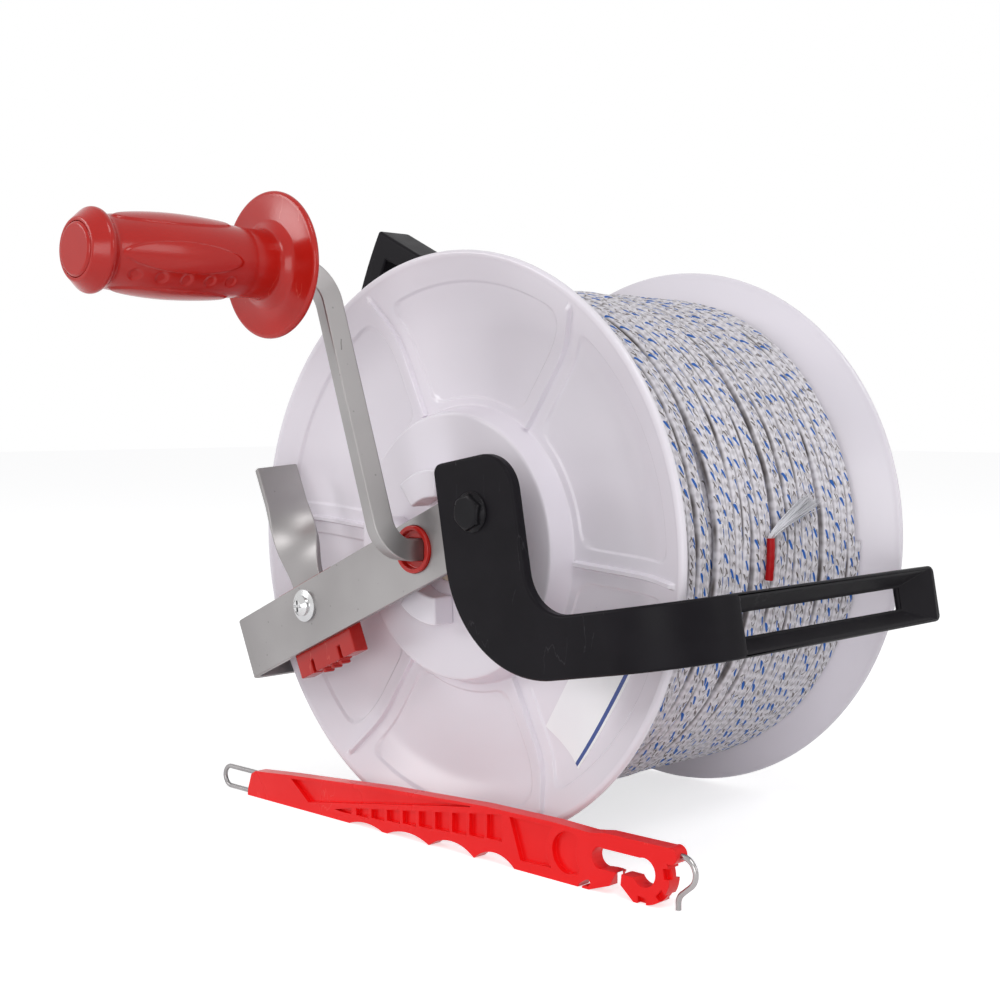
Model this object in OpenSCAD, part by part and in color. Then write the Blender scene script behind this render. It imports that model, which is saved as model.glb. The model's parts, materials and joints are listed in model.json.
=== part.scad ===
// Electric fence reel: geared spool on a bent steel frame, with crank, carry handle, lock and gate handle.
// All lengths are millimetres. The spool axis runs along Y, the crank side faces -Y, and +Z is up.
// Inside the modules the origin is the centre of the front rim; at_rest() moves it under the whole object.

/* [Spool] */
// Radius of both flanges
flange_r = 125; // [115:1:140]
// Distance between the outer faces of the two rims
spool_len = 160; // [130:1:200]
// Depth of the dished flange, from its edge to the web
rim_depth = 12.5; // [10:0.5:14]
// Radial width of the flared rim
rim_w = 26; // [22:1:32]
// Thickness of the flange web
web_t = 3; // [2:0.5:4]
// Radius of the raised hub on the front flange
boss_r = 57; // [56:0.5:62]
// Distance of the hub face behind the front rim
boss_step = 1.5; // [0.5:0.5:3]
// Thickness of the hub face
boss_t = 3; // [2.5:0.5:4]
// How much wider the hub is at its foot
boss_draft = 3; // [1:0.5:4]
// Number of radial ribs on the front flange
rib_n = 6; // [3:1:12]
// Width of a radial rib
rib_w = 2.4; // [1.5:0.1:4]
// Height of a radial rib above the web
rib_h = 2.2; // [1:0.1:3]
// Angle of the first rib above the horizontal
rib_dir = -4; // [-20:1:20]
// Outer radius of the drum tube
drum_r = 57; // [56:0.5:60]
// Wall of the drum tube
drum_wall = 3; // [2:0.5:3]
// Number of lock lugs on the hub face
lug_n = 5; // [3:1:6]
// Outer radius of the lock lugs
lug_r = 33; // [30:0.5:34]
// How far the lock lugs stand out of the hub face
lug_h = 11; // [8:0.5:11]

/* [Winding] */
// Distance of the wound line below the flange edge
wind_below = 13.5; // [10:0.5:25]
// Thickness of the line in the outer layer
line_d = 5; // [3:0.1:5.2]
// Number of turns in the outer layer
wind_turns = 23; // [8:1:23]
// Gap between the outer turns and the flange webs
wind_edge = 0.6; // [0.4:0.1:3]

/* [Frame] */
// Width of the flat steel bar
bar_w = 28; // [24:1:36]
// Thickness of the flat steel bar
bar_t = 3; // [2:0.5:4]
// Rise of the front bar above the horizontal
bar_dir = 24.2; // [15:0.1:35]
// Sideways offset of the bar from the axle
bar_off = -1.8; // [-4:0.1:4]
// Gap between the front rim and the bar
front_gap = 17; // [16:0.5:22]
// Gap between the rear rim and the rear bar
rear_gap = 10; // [8:0.5:16]
// Gap between the flange edge and the side leg
leg_gap = 3; // [2:0.5:6]
// Reach of both bars past the axle
bar_reach = 57; // [52:1:62]
// Inner radius of the two bends
bend_in = 3; // [2:0.5:6]

/* [Crank] */
// Distance from the axle to the grip
crank_throw = 123.5; // [100:0.5:150]
// Direction of the crank arm at rest
crank_dir = 108.8; // [90:0.1:125]
// Side of the square crank bar
crank_sq = 9; // [8:0.5:9.5]
// Gap between the handle bolt and the passing crank arm
arm_clear = 0.8; // [0.5:0.1:8]
// Bend radius of the crank at the axle
crank_bend = 12; // [10:0.5:12]
// Bend radius of the crank at the grip
grip_bend = 16; // [12:0.5:20]
// Radius of the round spindle inside the grip
spindle_r = 5; // [4:0.1:5.5]
// Length of the grip
grip_len = 91.5; // [85:0.5:120]
// Radius of the hand guard
guard_r = 30; // [24:0.5:34]
// Radius of the grip body
grip_r = 16; // [14:0.5:18]

/* [Gears] */
// Tooth size, pitch diameter over tooth count
gear_m = 1.75; // [1.6:0.05:1.8]
// Teeth on the sun gear, twice the planet teeth
sun_z = 24; // [24:24:24]
// Width of the gear teeth
gear_w = 12; // [8:0.5:12]
// Radius of a planet pin
pin_r = 3; // [2:0.1:4]

/* [Carry handle] */
// Tilt of the carry handle above the horizontal
handle_dir = 10.3; // [0:0.1:20]
// Thickness of the handle plate
handle_t = 5; // [4:0.5:7]
// Width of the handle band
band_w = 24.2; // [20:0.1:30]
// Width of the upright leg
leg_w = 43; // [36:0.5:46]
// Outer radius of the bend towards the rear
handle_bend = 36; // [30:0.5:40]
// Gap between the flange edge and the grip bar
handle_clear = 3; // [2:0.5:15]
// Depth of the grip bar
handle_depth = 9; // [8:0.5:9]
// Radius of the handle bolt
bolt_r = 4; // [3:0.5:4]

/* [Lock] */
// Distance from the axle to the lock screw
lock_u = 77.4; // [76:0.1:80]
// Length of the lock slider along the bar
slider_len = 41; // [38:0.5:44]
// Thickness of the lock slider
slider_t = 7.7; // [6:0.1:7.7]
// Travel of the lock slider
lock_travel = 12; // [6:0.5:12]
// Width of the thumb strap
strap_w = 20.5; // [16:0.5:22]
// Thickness of the thumb strap
strap_t = 3; // [2:0.5:3]
// Height of the thumb strap above the axle line
strap_top = 71.3; // [60:0.1:80]

/* [Gate handle] */
// Length of the gate handle moulding
gate_len = 256; // [240:1:280]
// Thickness of the gate handle
gate_t = 6.5; // [6:0.5:8]
// Height of the gate handle at its wide end
gate_h = 23.8; // [23:0.1:27]
// Radius of the steel wire of the eye and hook
wire_r = 1.1; // [0.9:0.1:1.6]

/* [Hidden] */
$fn = 64;
// Clearances: running fits, free gaps and slip fits
run = 0.05;
free = 0.3;
slip = 0.05;
// Shallow overlap of cutters past the face that they cut
past = 1;

// Stations along the axle
web_front = rim_depth;
in_front = rim_depth + web_t;
in_rear = spool_len - in_front;
bar_front = -front_gap - bar_t;
rear_bar_y = spool_len + rear_gap;
bolt_head_t = 4;
crank_half = crank_sq / 2 * (abs(sin(crank_dir)) + abs(cos(crank_dir)));
arm_gap = handle_t + bolt_head_t + arm_clear + crank_half;
arm_y = bar_front - arm_gap;
wind_r = flange_r - wind_below;

// Flat bar
leg_in = flange_r + leg_gap;
leg_out = leg_in + bar_t;
bend_out = bend_in + bar_t;
bar_mid = (leg_in + leg_out) / 2;

// Gear train: fixed ring, carrier on the crank, sun on the spool
planet_z = sun_z / 2;
ring_z = 2 * sun_z;
sun_p = gear_m * sun_z / 2;
planet_p = gear_m * planet_z / 2;
ring_p = gear_m * ring_z / 2;
gear_orbit = sun_p + planet_p;
gear_y = boss_step + boss_t + 2;
carrier_t = 4;
carrier_y = gear_y + gear_w + 1.5;
carrier_r = gear_orbit + pin_r + 3;
addendum = 0.85 * gear_m;
dedendum = 1.15 * gear_m;
backlash = 0.15;
pressure = 20;
cup_wall = 3;
cup_r = ring_p + dedendum + cup_wall;
nut_t = 5;
cup_floor = carrier_y + carrier_t + nut_t + 2.5;
cup_t = 4;

// Drive bush, axle and bearing
bush_r = 10;
bush_flange_r = 16;
bush_flange_t = 3;
bush_lip = 1.5;
bush_cup_r = 8;
bush_cup = 2.6;
shaft_r = 9;
sun_spigot_r = 15;
stub_r = 3;
axle_r = 8;
axle_end_r = 6;
tail_r = 5;
tail_len = 8;
axle_flange_r = 20;
axle_flange_t = 4;
axle_y = cup_floor + cup_t;
bearing_r = 11;
bearing_flange_r = 15;
bearing_flange_t = 2;
hub_r = 20;
hub_len = rim_depth + 6;
hub_y = in_rear + hub_len;
washer_t = 1.6;
bolt_af = 13;
bolt_flange_r = 8.2;
bolt_flange_t = 1.4;
axle_nut_af = 19;
axle_nut_t = 8;
nut_thin = 6;

// Crank and grip, measured along -Y from the arm
grip_free = 9.2;
grip_y = arm_y - grip_bend - grip_free;
grip_end = grip_y - grip_len;
guard_t = 3;
neck_r = 14;
waist_r = 13.8;
end_r = 16.2;
plug_r = 10.4;
plug_t = 7;
plug_out = 0.8;
cap_t = 2;
tap_r = 2;
tap_len = 16;
spindle_end = grip_end + plug_t + cap_t + 4;

// Carry handle, along and across its tilted frame
leg_lo = 22.2;
leg_top = 32;
band_hi = -34.5;
band_lo = band_hi - band_w;
elbow_r = 49;
elbow_in = 18;
corner_r = 16;
corner_in = 4;
handle_out = flange_r + handle_clear + handle_depth;
bend_u = handle_out - handle_bend;
bend_y = bar_front - handle_t + handle_bend;
grip_bar_end = spool_len - 3.6;
pocket_lip = 1.8;
pocket_floor = 3;
pocket_end = 6.5;
slot_w = 9.2;
slot_end = 22.4;
end_round = 3;
bolt_u = 42.6;

// Side hook: an arm bowed round hook_c, from the side leg up to its apex, and a nose over the spool
hook_y = 62;
hook_w = 24;
hook_base = 10;
hook_t = 12;
hook_bow = 230;
hook_in = 2.09;
hook_drop = 6.13;
hook_c = (hook_bow - leg_out - hook_base + hook_in) * [cos(bar_dir), sin(bar_dir)]
    + hook_drop * [sin(bar_dir), -cos(bar_dir)];
hook_end = 149.9;
hook_apex = hook_c + hook_bow * [cos(hook_end), sin(hook_end)];
nose_dir = -26;
nose_len = 34;
nose_t = 11;
nose_tip = 8;
nose_round = 6;

// Lock slider
slider_y = -front_gap + free;
slider_back = slider_y + slider_t;
slider_in = -57;
slider_out = slider_in - slider_len;
slider_top = bar_w / 2 + bar_off + 1.2;
slider_low = -bar_w / 2 + bar_off - 10.5;
lock_screw_r = 3;
lock_v = 2.3;
strap_u = -82;
strap_low = 6.2;
strap_turn = 78;
twist_from = 18;
twist_to = 52;
tongue_tip = -lug_r - lock_travel - 1.2;
tongue_root = tongue_tip - 18;
tongue_w = 12;
tongue_t = 6;

// Gate handle, standing on the floor in front of the rims
gate_gap = 8.5;
gate_back = -gate_gap;
gate_front = gate_back - gate_t;
gate_mid = (gate_front + gate_back) / 2;
gate_x0 = -122;
gate_x1 = gate_x0 + gate_len;
gate_kx = gate_len / 256;
gate_kh = gate_h / 23.8;
floor_z = -flange_r;
eye_r = 4.75;
eye_h = eye_r + wire_r + 0.1;
eye_x = gate_x0 - 17;
eye_in = 16;
curl_r = 6;
curl_h = gate_h - 3.2;

// Extent of the whole object, for the resting frame
x_lo = min(eye_x - eye_r - wire_r, hook_c[0] - hook_bow);
x_hi = max(gate_x1 + curl_r + wire_r, handle_out * cos(handle_dir) - band_lo * sin(handle_dir));
y_lo = grip_end - plug_out;
axle_thread = rear_bar_y + bar_t + washer_t + axle_nut_t + 1;
axle_tail = axle_thread + tail_len;
y_hi = axle_tail;

// Placing helpers

module at_rest() {
    translate([-(x_lo + x_hi) / 2, -(y_lo + y_hi) / 2, flange_r]) children();
}

// Turns the X axis up by an angle about the axle
module tilt(a) {
    rotate([0, -a, 0]) children();
}

// Extrudes an X-Z outline between two stations along Y
module along_y(y0, y1) {
    translate([0, y1, 0]) rotate([90, 0, 0]) linear_extrude(y1 - y0) children();
}

// Turns a radius-station outline about the axle
module turned() {
    rotate([-90, 0, 0]) rotate_extrude() children();
}

module rod(r, y0, y1) {
    translate([0, y0, 0]) rotate([-90, 0, 0]) cylinder(r = r, h = y1 - y0);
}

module tube(r_out, r_in, y0, y1) {
    difference() {
        rod(r_out, y0, y1);
        rod(r_in, y0 - past, y1 + past);
    }
}

module hex_rod(across, y0, y1) {
    translate([0, y0, 0]) rotate([-90, 0, 0]) cylinder(d = across / cos(30), h = y1 - y0, $fn = 6);
}

// Gears

function rad(a) = a * PI / 180;
function inv_deg(c) = (tan(c) - rad(c)) * 180 / PI;
function flank_deg(r, rb) = r <= rb ? 0 : inv_deg(acos(rb / r));

// Half angle of a tooth at radius r, for a tooth with its thickness changed by play
function tooth_half(r, z, play) =
    let (rp = gear_m * z / 2, rb = rp * cos(pressure))
    90 / z + play / rp * 180 / PI / 2 + inv_deg(pressure) - flank_deg(r, rb);

function tooth_points(z, play, r_root, r_tip) =
    let (steps = 4, rs = [for (i = [0:steps]) r_root + (r_tip - r_root) * i / steps])
    [for (k = [0:z - 1], s = [-1, 1], i = [0:steps])
        let (r = s < 0 ? rs[i] : rs[steps - i], a = k * 360 / z + s * tooth_half(r, z, play))
        [r * cos(a), r * sin(a)]];

module gear_outline(z, play, r_root, r_tip) {
    polygon(tooth_points(z, play, r_root, r_tip));
}

// Wound line: one tube along a helix, straight for one diameter at both ends

wind_sides = 6;
wind_rings = 24;
wind_mid = wind_r - line_d / 2;
wind_y0 = in_front + wind_edge + line_d / 2;
wind_y1 = in_rear - wind_edge - line_d / 2;
wind_pitch = (wind_y1 - wind_y0) / wind_turns;

function helix_at(t) = [wind_mid * cos(360 * t), wind_y0 + wind_pitch * t, wind_mid * sin(360 * t)];
function helix_dir(t) =
    let (v = [-wind_mid * sin(360 * t) * 2 * PI, wind_pitch, wind_mid * cos(360 * t) * 2 * PI])
    v / norm(v);
wind_path = concat([helix_at(0) - line_d * helix_dir(0)],
    [for (i = [0:wind_turns * wind_rings]) helix_at(i / wind_rings)],
    [helix_at(wind_turns) + line_d * helix_dir(wind_turns)]);
wind_last = len(wind_path) - 1;
function wind_turn(i) = min(max(i - 1, 0), wind_turns * wind_rings) / wind_rings;
function wind_ring(i) =
    let (t = wind_turn(i), out = [cos(360 * t), 0, sin(360 * t)], side = cross(helix_dir(t), out))
    [for (k = [0:wind_sides - 1]) wind_path[i] + line_d / 2 * (cos(60 * k) * out + sin(60 * k) * side)];
wind_points = [for (i = [0:wind_last]) each wind_ring(i)];
wind_faces = concat(
    [for (i = [0:wind_last - 1], k = [0:wind_sides - 1])
        let (a = i * wind_sides + k, b = i * wind_sides + (k + 1) % wind_sides)
        each [[a, b, a + wind_sides], [b, b + wind_sides, a + wind_sides]]],
    [for (k = [1:wind_sides - 2]) [0, k + 1, k]],
    [for (k = [1:wind_sides - 2]) [for (j = [0, k, k + 1]) wind_last * wind_sides + j]]);

// Least distance between points of neighbouring turns
function turn_gap(i) = min([for (j = [wind_rings - 1:wind_rings + 1], p = wind_ring(i), q = wind_ring(i + j))
    norm(p - q)]);
wind_gap = min([for (i = [0:wind_last - wind_rings - 1]) turn_gap(i)]);
echo(least_gap_between_turns = wind_gap);

// Frame pieces

// Quarter of a bent strip, its centre of bend at the origin, in the quadrant of signs sx, sy
module bend_quarter(sx, sy) {
    intersection() {
        difference() {
            circle(bend_out);
            circle(bend_in);
        }
        translate([sx < 0 ? -bend_out - past : 0, sy < 0 ? -bend_out - past : 0]) square(bend_out + past);
    }
}

module frame_outline() {
    run_x = -leg_out + bend_out;
    translate([run_x, bar_front]) square([bar_reach - run_x, bar_t]);
    translate([run_x, rear_bar_y]) square([bar_reach - run_x, bar_t]);
    translate([-leg_out, bar_front + bend_out])
        square([bar_t, rear_bar_y + bar_t - bar_front - 2 * bend_out]);
    translate([run_x, bar_front + bend_out]) bend_quarter(-1, -1);
    translate([run_x, rear_bar_y + bar_t - bend_out]) bend_quarter(-1, 1);
}

// Axis of the hook's bolt, outwards through the middle of the side leg
module across_leg() {
    translate([0, hook_y + hook_w / 2, bar_off]) rotate([0, 0, -90]) children();
}

module frame_strap() {
    color("silver") at_rest() tilt(bar_dir) difference() {
        translate([0, 0, bar_off - bar_w / 2]) linear_extrude(bar_w) frame_outline();
        rod(bush_r + run, bar_front - past, -front_gap + past);
        rod(axle_end_r + slip, rear_bar_y - past, rear_bar_y + bar_t + past);
        translate([-lock_u, 0, lock_v]) rod(lock_screw_r + slip, bar_front - past, -front_gap + past);
        translate([bolt_u, 0, 0]) rod(bolt_r + slip, bar_front - past, -front_gap + past);
        across_leg() rod(bolt_r + slip, -leg_out - past, -leg_in + past);
    }
}

module handle_outline() {
    difference() {
        union() {
            translate([leg_lo, band_lo + elbow_r]) square([leg_w, leg_top - corner_r - band_lo - elbow_r]);
            translate([leg_lo + corner_in, leg_top - corner_r - past])
                square([leg_w - corner_r - corner_in, corner_r + past]);
            translate([leg_lo, leg_top - corner_r - past])
                square([corner_in + past, corner_r + past - corner_in]);
            translate([leg_lo + corner_in, leg_top - corner_in]) circle(corner_in);
            translate([leg_lo + leg_w - corner_r, leg_top - corner_r]) circle(corner_r);
            translate([leg_lo + elbow_r, band_lo + elbow_r]) intersection() {
                circle(elbow_r);
                translate([-elbow_r - past, -elbow_r - past]) square(elbow_r + past);
            }
            translate([leg_lo + elbow_r, band_lo]) square([bend_u - leg_lo - elbow_r, band_w]);
            translate([leg_lo + leg_w - past, band_hi - past]) square([elbow_in + past, elbow_in + past]);
        }
        translate([leg_lo + leg_w + elbow_in, band_hi + elbow_in]) circle(elbow_in);
        translate([leg_lo + leg_w, band_hi + elbow_in]) square([elbow_in + past, leg_top - band_hi]);
    }
}

// Hollow in the outer face of the grip bar, its walls slanting in to the slot
module grip_pocket() {
    floor_w = slot_w + 1.2;
    floor_u = handle_out - handle_depth + pocket_floor;
    hull() {
        translate([handle_out, bend_y + 2, band_lo + pocket_lip])
            cube([past, grip_bar_end - pocket_end - bend_y - 2, band_w - 2 * pocket_lip]);
        translate([floor_u, bend_y + 2, band_lo + (band_w - floor_w) / 2])
            cube([past, grip_bar_end - slot_end - bend_y - 1, floor_w]);
    }
}

// Sharp corner of the grip bar's far end, taken off to leave it round
module end_corner() {
    translate([handle_out - handle_depth - past, grip_bar_end - end_round, band_w / 2 - end_round])
        difference() {
            cube([handle_depth + 2 * past, end_round + past, end_round + past]);
            translate([-past, 0, 0]) rotate([0, 90, 0]) cylinder(r = end_round, h = handle_depth + 4 * past);
        }
}

module carry_handle() {
    color("#1c1c1e") at_rest() tilt(handle_dir) difference() {
        union() {
            along_y(bar_front - handle_t, bar_front) handle_outline();
            translate([bend_u, bend_y, 0]) rotate([0, 0, -90]) rotate_extrude(angle = 90)
                translate([handle_bend - handle_t, band_lo]) square([handle_t, band_w]);
            translate([handle_out - handle_depth, bend_y, band_lo])
                cube([handle_depth, grip_bar_end - bend_y, band_w]);
        }
        tilt(bar_dir - handle_dir) translate([bolt_u, 0, 0])
            rod(bolt_r + slip, bar_front - handle_t - past, bar_front + past);
        grip_pocket();
        translate([0, 0, band_lo + band_w / 2]) for (side = [0, 1]) mirror([0, 0, side]) end_corner();
        translate([handle_out - handle_depth - past, bend_y + 4, band_lo + (band_w - slot_w) / 2])
            cube([handle_depth, grip_bar_end - slot_end - bend_y - 4, slot_w]);
    }
}

// Flanged hex bolt with its head towards -Y: hexagon, coned flange and shank
module hex_bolt(r, across, y_seat, head_t, y_tip) {
    cone = y_seat - bolt_flange_t - 0.5;
    intersection() {
        hex_rod(across, y_seat - head_t, cone + past);
        turned() polygon([[0, y_seat - head_t], [across * 0.42, y_seat - head_t],
            [across * 0.62, y_seat - head_t * 0.65], [across * 0.62, y_seat], [0, y_seat]]);
    }
    turned() polygon([[0, cone], [across * 0.5, cone], [bolt_flange_r, y_seat - 0.7], [bolt_flange_r, y_seat],
        [0, y_seat]]);
    rod(r, y_seat - past, y_tip);
}

module hex_nut(r, across, y0, y1) {
    difference() {
        hex_rod(across, y0, y1);
        rod(r, y0 - past, y1 + past);
    }
}

module at_bolt() {
    at_rest() tilt(bar_dir) translate([bolt_u, 0, 0]) children();
}

module handle_bolt() {
    color("#202022") at_bolt()
        hex_bolt(bolt_r, bolt_af, bar_front - handle_t, bolt_head_t, -front_gap + nut_thin);
}

module handle_nut() {
    color("silver") at_bolt() hex_nut(bolt_r + slip, bolt_af, -front_gap, -front_gap + nut_thin);
}

// Outline of the bowed arm and its foot on the side leg, seen along the axle
module hook_arm_outline() {
    reach = 2 * hook_bow;
    far = 3 * hook_t;
    difference() {
        union() {
            intersection() {
                translate(hook_c) difference() {
                    circle(hook_bow);
                    circle(hook_bow - hook_t);
                }
                polygon([hook_c, hook_c + reach * [cos(hook_end), sin(hook_end)],
                    hook_c + reach * [cos(180 + bar_dir), sin(180 + bar_dir)]]);
            }
            rotate(bar_dir) translate([-leg_out - hook_base, bar_off - bar_w / 2 + 1])
                square([hook_base, bar_w + 3]);
        }
        rotate(bar_dir) translate([-leg_out, -far]) square([far, 2 * far]);
    }
}

// Nose that falls away from the apex, with a short tip turned down at its end
module hook_nose_outline() {
    translate(hook_apex) rotate(nose_dir) {
        translate([0, -nose_t]) square([nose_len, nose_t]);
        translate([nose_len - nose_tip, -nose_t - nose_tip]) square([nose_tip, nose_tip + past]);
    }
}

module side_hook() {
    y1 = hook_y + hook_w;
    far = nose_len + 2 * nose_t;
    color("#1c1c1e") at_rest() difference() {
        along_y(hook_y, y1) {
            hook_arm_outline();
            hook_nose_outline();
        }
        tilt(bar_dir) across_leg() rod(bolt_r + slip, -leg_out - hook_base - past, -leg_out + past);
        translate([hook_apex[0], y1, hook_apex[1]]) tilt(nose_dir)
            translate([-nose_t, -nose_round, -nose_round]) difference() {
                cube([far, nose_round + past, nose_round + past]);
                rotate([0, 90, 0]) translate([0, 0, -past]) cylinder(r = nose_round, h = far + 2 * past);
            }
    }
}

module at_leg_bolt() {
    at_rest() tilt(bar_dir) across_leg() children();
}

module hook_bolt() {
    color("#202022") at_leg_bolt()
        hex_bolt(bolt_r, bolt_af, -leg_out - hook_base, bolt_head_t, -leg_in + nut_thin);
}

module hook_nut() {
    color("silver") at_leg_bolt() hex_nut(bolt_r + slip, bolt_af, -leg_in, -leg_in + nut_thin);
}

module lock_screw() {
    washer_r = 7.2;
    head_r = 4.6;
    head_t = 3;
    tip = slider_back + free + washer_t + nut_t;
    color("#d0d3d6") at_rest() tilt(bar_dir) translate([-lock_u, 0, lock_v]) {
        difference() {
            turned() polygon([[0, bar_front - washer_t - head_t],
                [head_r * 0.55, bar_front - washer_t - head_t],
                [head_r, bar_front - washer_t - head_t * 0.45], [head_r, bar_front - washer_t],
                [washer_r, bar_front - washer_t * 0.6], [washer_r, bar_front], [0, bar_front]]);
            for (a = [0, 90]) rotate([0, a + 20, 0])
                translate([-2.6, bar_front - washer_t - head_t - past, -0.6]) cube([5.2, 1.8 + past, 1.2]);
        }
        rod(lock_screw_r, bar_front - past, tip);
    }
}

module lock_nut() {
    y0 = slider_back + free;
    washer_r = 7.5;
    color("silver") at_rest() tilt(bar_dir) translate([-lock_u, 0, lock_v]) {
        tube(washer_r, lock_screw_r + slip, y0, y0 + washer_t);
        hex_nut(lock_screw_r + slip, 10, y0 + washer_t, y0 + washer_t + nut_t);
    }
}

// Axle and gears

module axle() {
    color("lightgray") at_rest() difference() {
        union() {
            rod(axle_flange_r, axle_y, axle_y + axle_flange_t);
            rod(axle_r, axle_y, rear_bar_y);
            rod(axle_end_r, axle_y, axle_thread);
            rod(tail_r, axle_y, axle_tail);
        }
        ring_screw_holes(axle_y - past, axle_y + axle_flange_t + past, 2 + slip);
    }
}

module axle_spacer() {
    color("silver") at_rest() tube(13, axle_r + slip, hub_y + bearing_flange_t + free, rear_bar_y);
}

module axle_nut() {
    y0 = rear_bar_y + bar_t;
    color("silver") at_rest() {
        tube(13, axle_end_r + slip, y0, y0 + washer_t);
        hex_nut(axle_end_r + slip, axle_nut_af, y0 + washer_t, y0 + washer_t + axle_nut_t);
    }
}

ring_screw_n = 3;
ring_screw_at = 15;

module ring_screw_places() {
    for (k = [0:ring_screw_n - 1]) rotate([0, k * 360 / ring_screw_n, 0])
        translate([ring_screw_at, 0, 0]) children();
}

module ring_screw_holes(y0, y1, r) {
    ring_screw_places() rod(r, y0, y1);
}

module ring_gear() {
    color("#e8e6ea") at_rest() difference() {
        rod(cup_r, gear_y - 1, cup_floor + cup_t);
        tilt(crank_dir) along_y(gear_y - 1 - past, carrier_y - 1)
            gear_outline(ring_z, backlash, ring_p - addendum, ring_p + dedendum);
        rod(cup_r - cup_wall + 0.6, carrier_y - 1.5, cup_floor);
        ring_screw_holes(cup_floor - past, cup_floor + cup_t + past, 2 + slip);
    }
}

module ring_screws() {
    color("silver") at_rest() ring_screw_places() {
        rod(2, cup_floor, axle_y + axle_flange_t + past);
        rod(3.6, axle_y + axle_flange_t, axle_y + axle_flange_t + 2.4);
    }
}

// Crank

// Square of the crank bar, turned so that its sides are level at the axle
module crank_square() {
    rotate(crank_dir - 90) square(crank_sq, center = true);
}

crank_tail = carrier_y + carrier_t;
stub_end = crank_tail + nut_t + 1;

// The crank lies in its own plane: X along the arm, Y along the axle
module crank_arm() {
    color("silver") at_rest() tilt(crank_dir) difference() {
        union() {
            translate([0, arm_y + crank_bend, 0]) rotate([-90, 0, 0])
                linear_extrude(crank_tail - arm_y - crank_bend) rotate(90) crank_square();
            translate([crank_bend, arm_y + crank_bend, 0]) rotate([0, 0, 180])
                rotate_extrude(angle = 90) translate([crank_bend, 0]) rotate(90) crank_square();
            translate([crank_bend, arm_y, 0]) rotate([90, 0, 90])
                linear_extrude(crank_throw - crank_bend - grip_bend) mirror([1, 0]) crank_square();
            translate([crank_throw - grip_bend, arm_y - grip_bend, 0])
                rotate_extrude(angle = 90) translate([grip_bend, 0]) mirror([1, 0]) crank_square();
            translate([crank_throw, grip_y, 0]) rotate([-90, 0, 0])
                linear_extrude(arm_y - grip_bend - grip_y) rotate(90) crank_square();
            translate([crank_throw, 0, 0]) rod(spindle_r, spindle_end, grip_y);
            rod(stub_r, crank_tail - past, stub_end);
        }
        translate([crank_throw, 0, 0]) rod(tap_r, spindle_end - past, spindle_end + tap_len);
    }
}

module drive_bush() {
    color("#d8281f") at_rest() difference() {
        union() {
            rod(bush_r, bar_front - bush_lip, -front_gap + free);
            rod(bush_flange_r, -front_gap + free, -front_gap + free + bush_flange_t);
            rod(shaft_r, -front_gap, carrier_y);
        }
        tilt(crank_dir) along_y(bar_front - bush_lip - past, carrier_y + past) rotate(90 - crank_dir)
            square(crank_sq + 2 * slip, center = true);
        rod(bush_cup_r, bar_front - bush_lip - past, bar_front - bush_lip + bush_cup);
    }
}

module planet_places() {
    for (k = [0:2]) rotate([0, -120 * k, 0]) translate([gear_orbit, 0, 0]) children();
}

module planet_carrier() {
    color("#e8e6ea") at_rest() tilt(crank_dir) difference() {
        rod(carrier_r, carrier_y, carrier_y + carrier_t);
        along_y(carrier_y - past, carrier_y + carrier_t + past) rotate(90 - crank_dir)
            square(crank_sq + 2 * slip, center = true);
        planet_places() rod(pin_r, carrier_y - past, carrier_y + carrier_t + past);
    }
}

module planet_pins() {
    color("silver") at_rest() tilt(crank_dir) planet_places() rod(pin_r, gear_y - 0.5, carrier_y + carrier_t);
}

module carrier_nut() {
    color("silver") at_rest() hex_nut(stub_r + slip, 10, crank_tail, crank_tail + nut_t);
}

module grip_retainer() {
    color("silver") at_rest() tilt(crank_dir) translate([crank_throw, 0, 0]) {
        rod(7.5, spindle_end - cap_t, spindle_end);
        rod(4, spindle_end - cap_t - 2.5, spindle_end - cap_t + past);
        rod(tap_r - slip, spindle_end - past, spindle_end + tap_len - 2);
    }
}

module planet_gear(k) {
    color("#f0e6c8") at_rest() tilt(crank_dir) rotate([0, -120 * k, 0])
        translate([gear_orbit, 0, 0]) difference() {
        along_y(gear_y, gear_y + gear_w)
            gear_outline(planet_z, -backlash, planet_p - dedendum, planet_p + addendum);
        rod(pin_r + run, gear_y - past, gear_y + gear_w + past);
    }
}

module planet_gear_1() {
    planet_gear(0);
}

module planet_gear_2() {
    planet_gear(1);
}

module planet_gear_3() {
    planet_gear(2);
}

// Grip, turned about its own axis, from the guard at grip_y to grip_end

module grip() {
    swell = grip_y - grip_len * 0.56;
    color("#d8281f") at_rest() tilt(crank_dir) translate([crank_throw, 0, 0]) turned() difference() {
        polygon(concat([[spindle_r + run, grip_y], [guard_r - 1, grip_y], [guard_r, grip_y - 0.8],
            [guard_r, grip_y - guard_t + 0.8], [guard_r - 1, grip_y - guard_t],
            [neck_r + 4, grip_y - guard_t - 0.4], [neck_r + 1.5, grip_y - guard_t - 1.6],
            [neck_r, grip_y - guard_t - 4], [neck_r, grip_y - 18]],
            [for (t = [1:5]) [neck_r + (grip_r - neck_r) * sin(18 * t),
                grip_y - 18 + (swell - grip_y + 18) * t / 5]],
            [for (t = [1:5]) [grip_r - (grip_r - waist_r) * (1 - cos(18 * t)),
                swell + (grip_end + 11 - swell) * t / 5]],
            [[end_r, grip_end + 7], [end_r, grip_end + 5.6], [plug_r + 1.4, grip_end + 0.2],
            [plug_r + 1, grip_end], [plug_r, grip_end],
            [plug_r, grip_end + plug_t], [spindle_r + run, grip_end + plug_t]]));
        translate([0, grip_end + plug_t - past]) square([9, cap_t + 5 + past]);
    }
}

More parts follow.
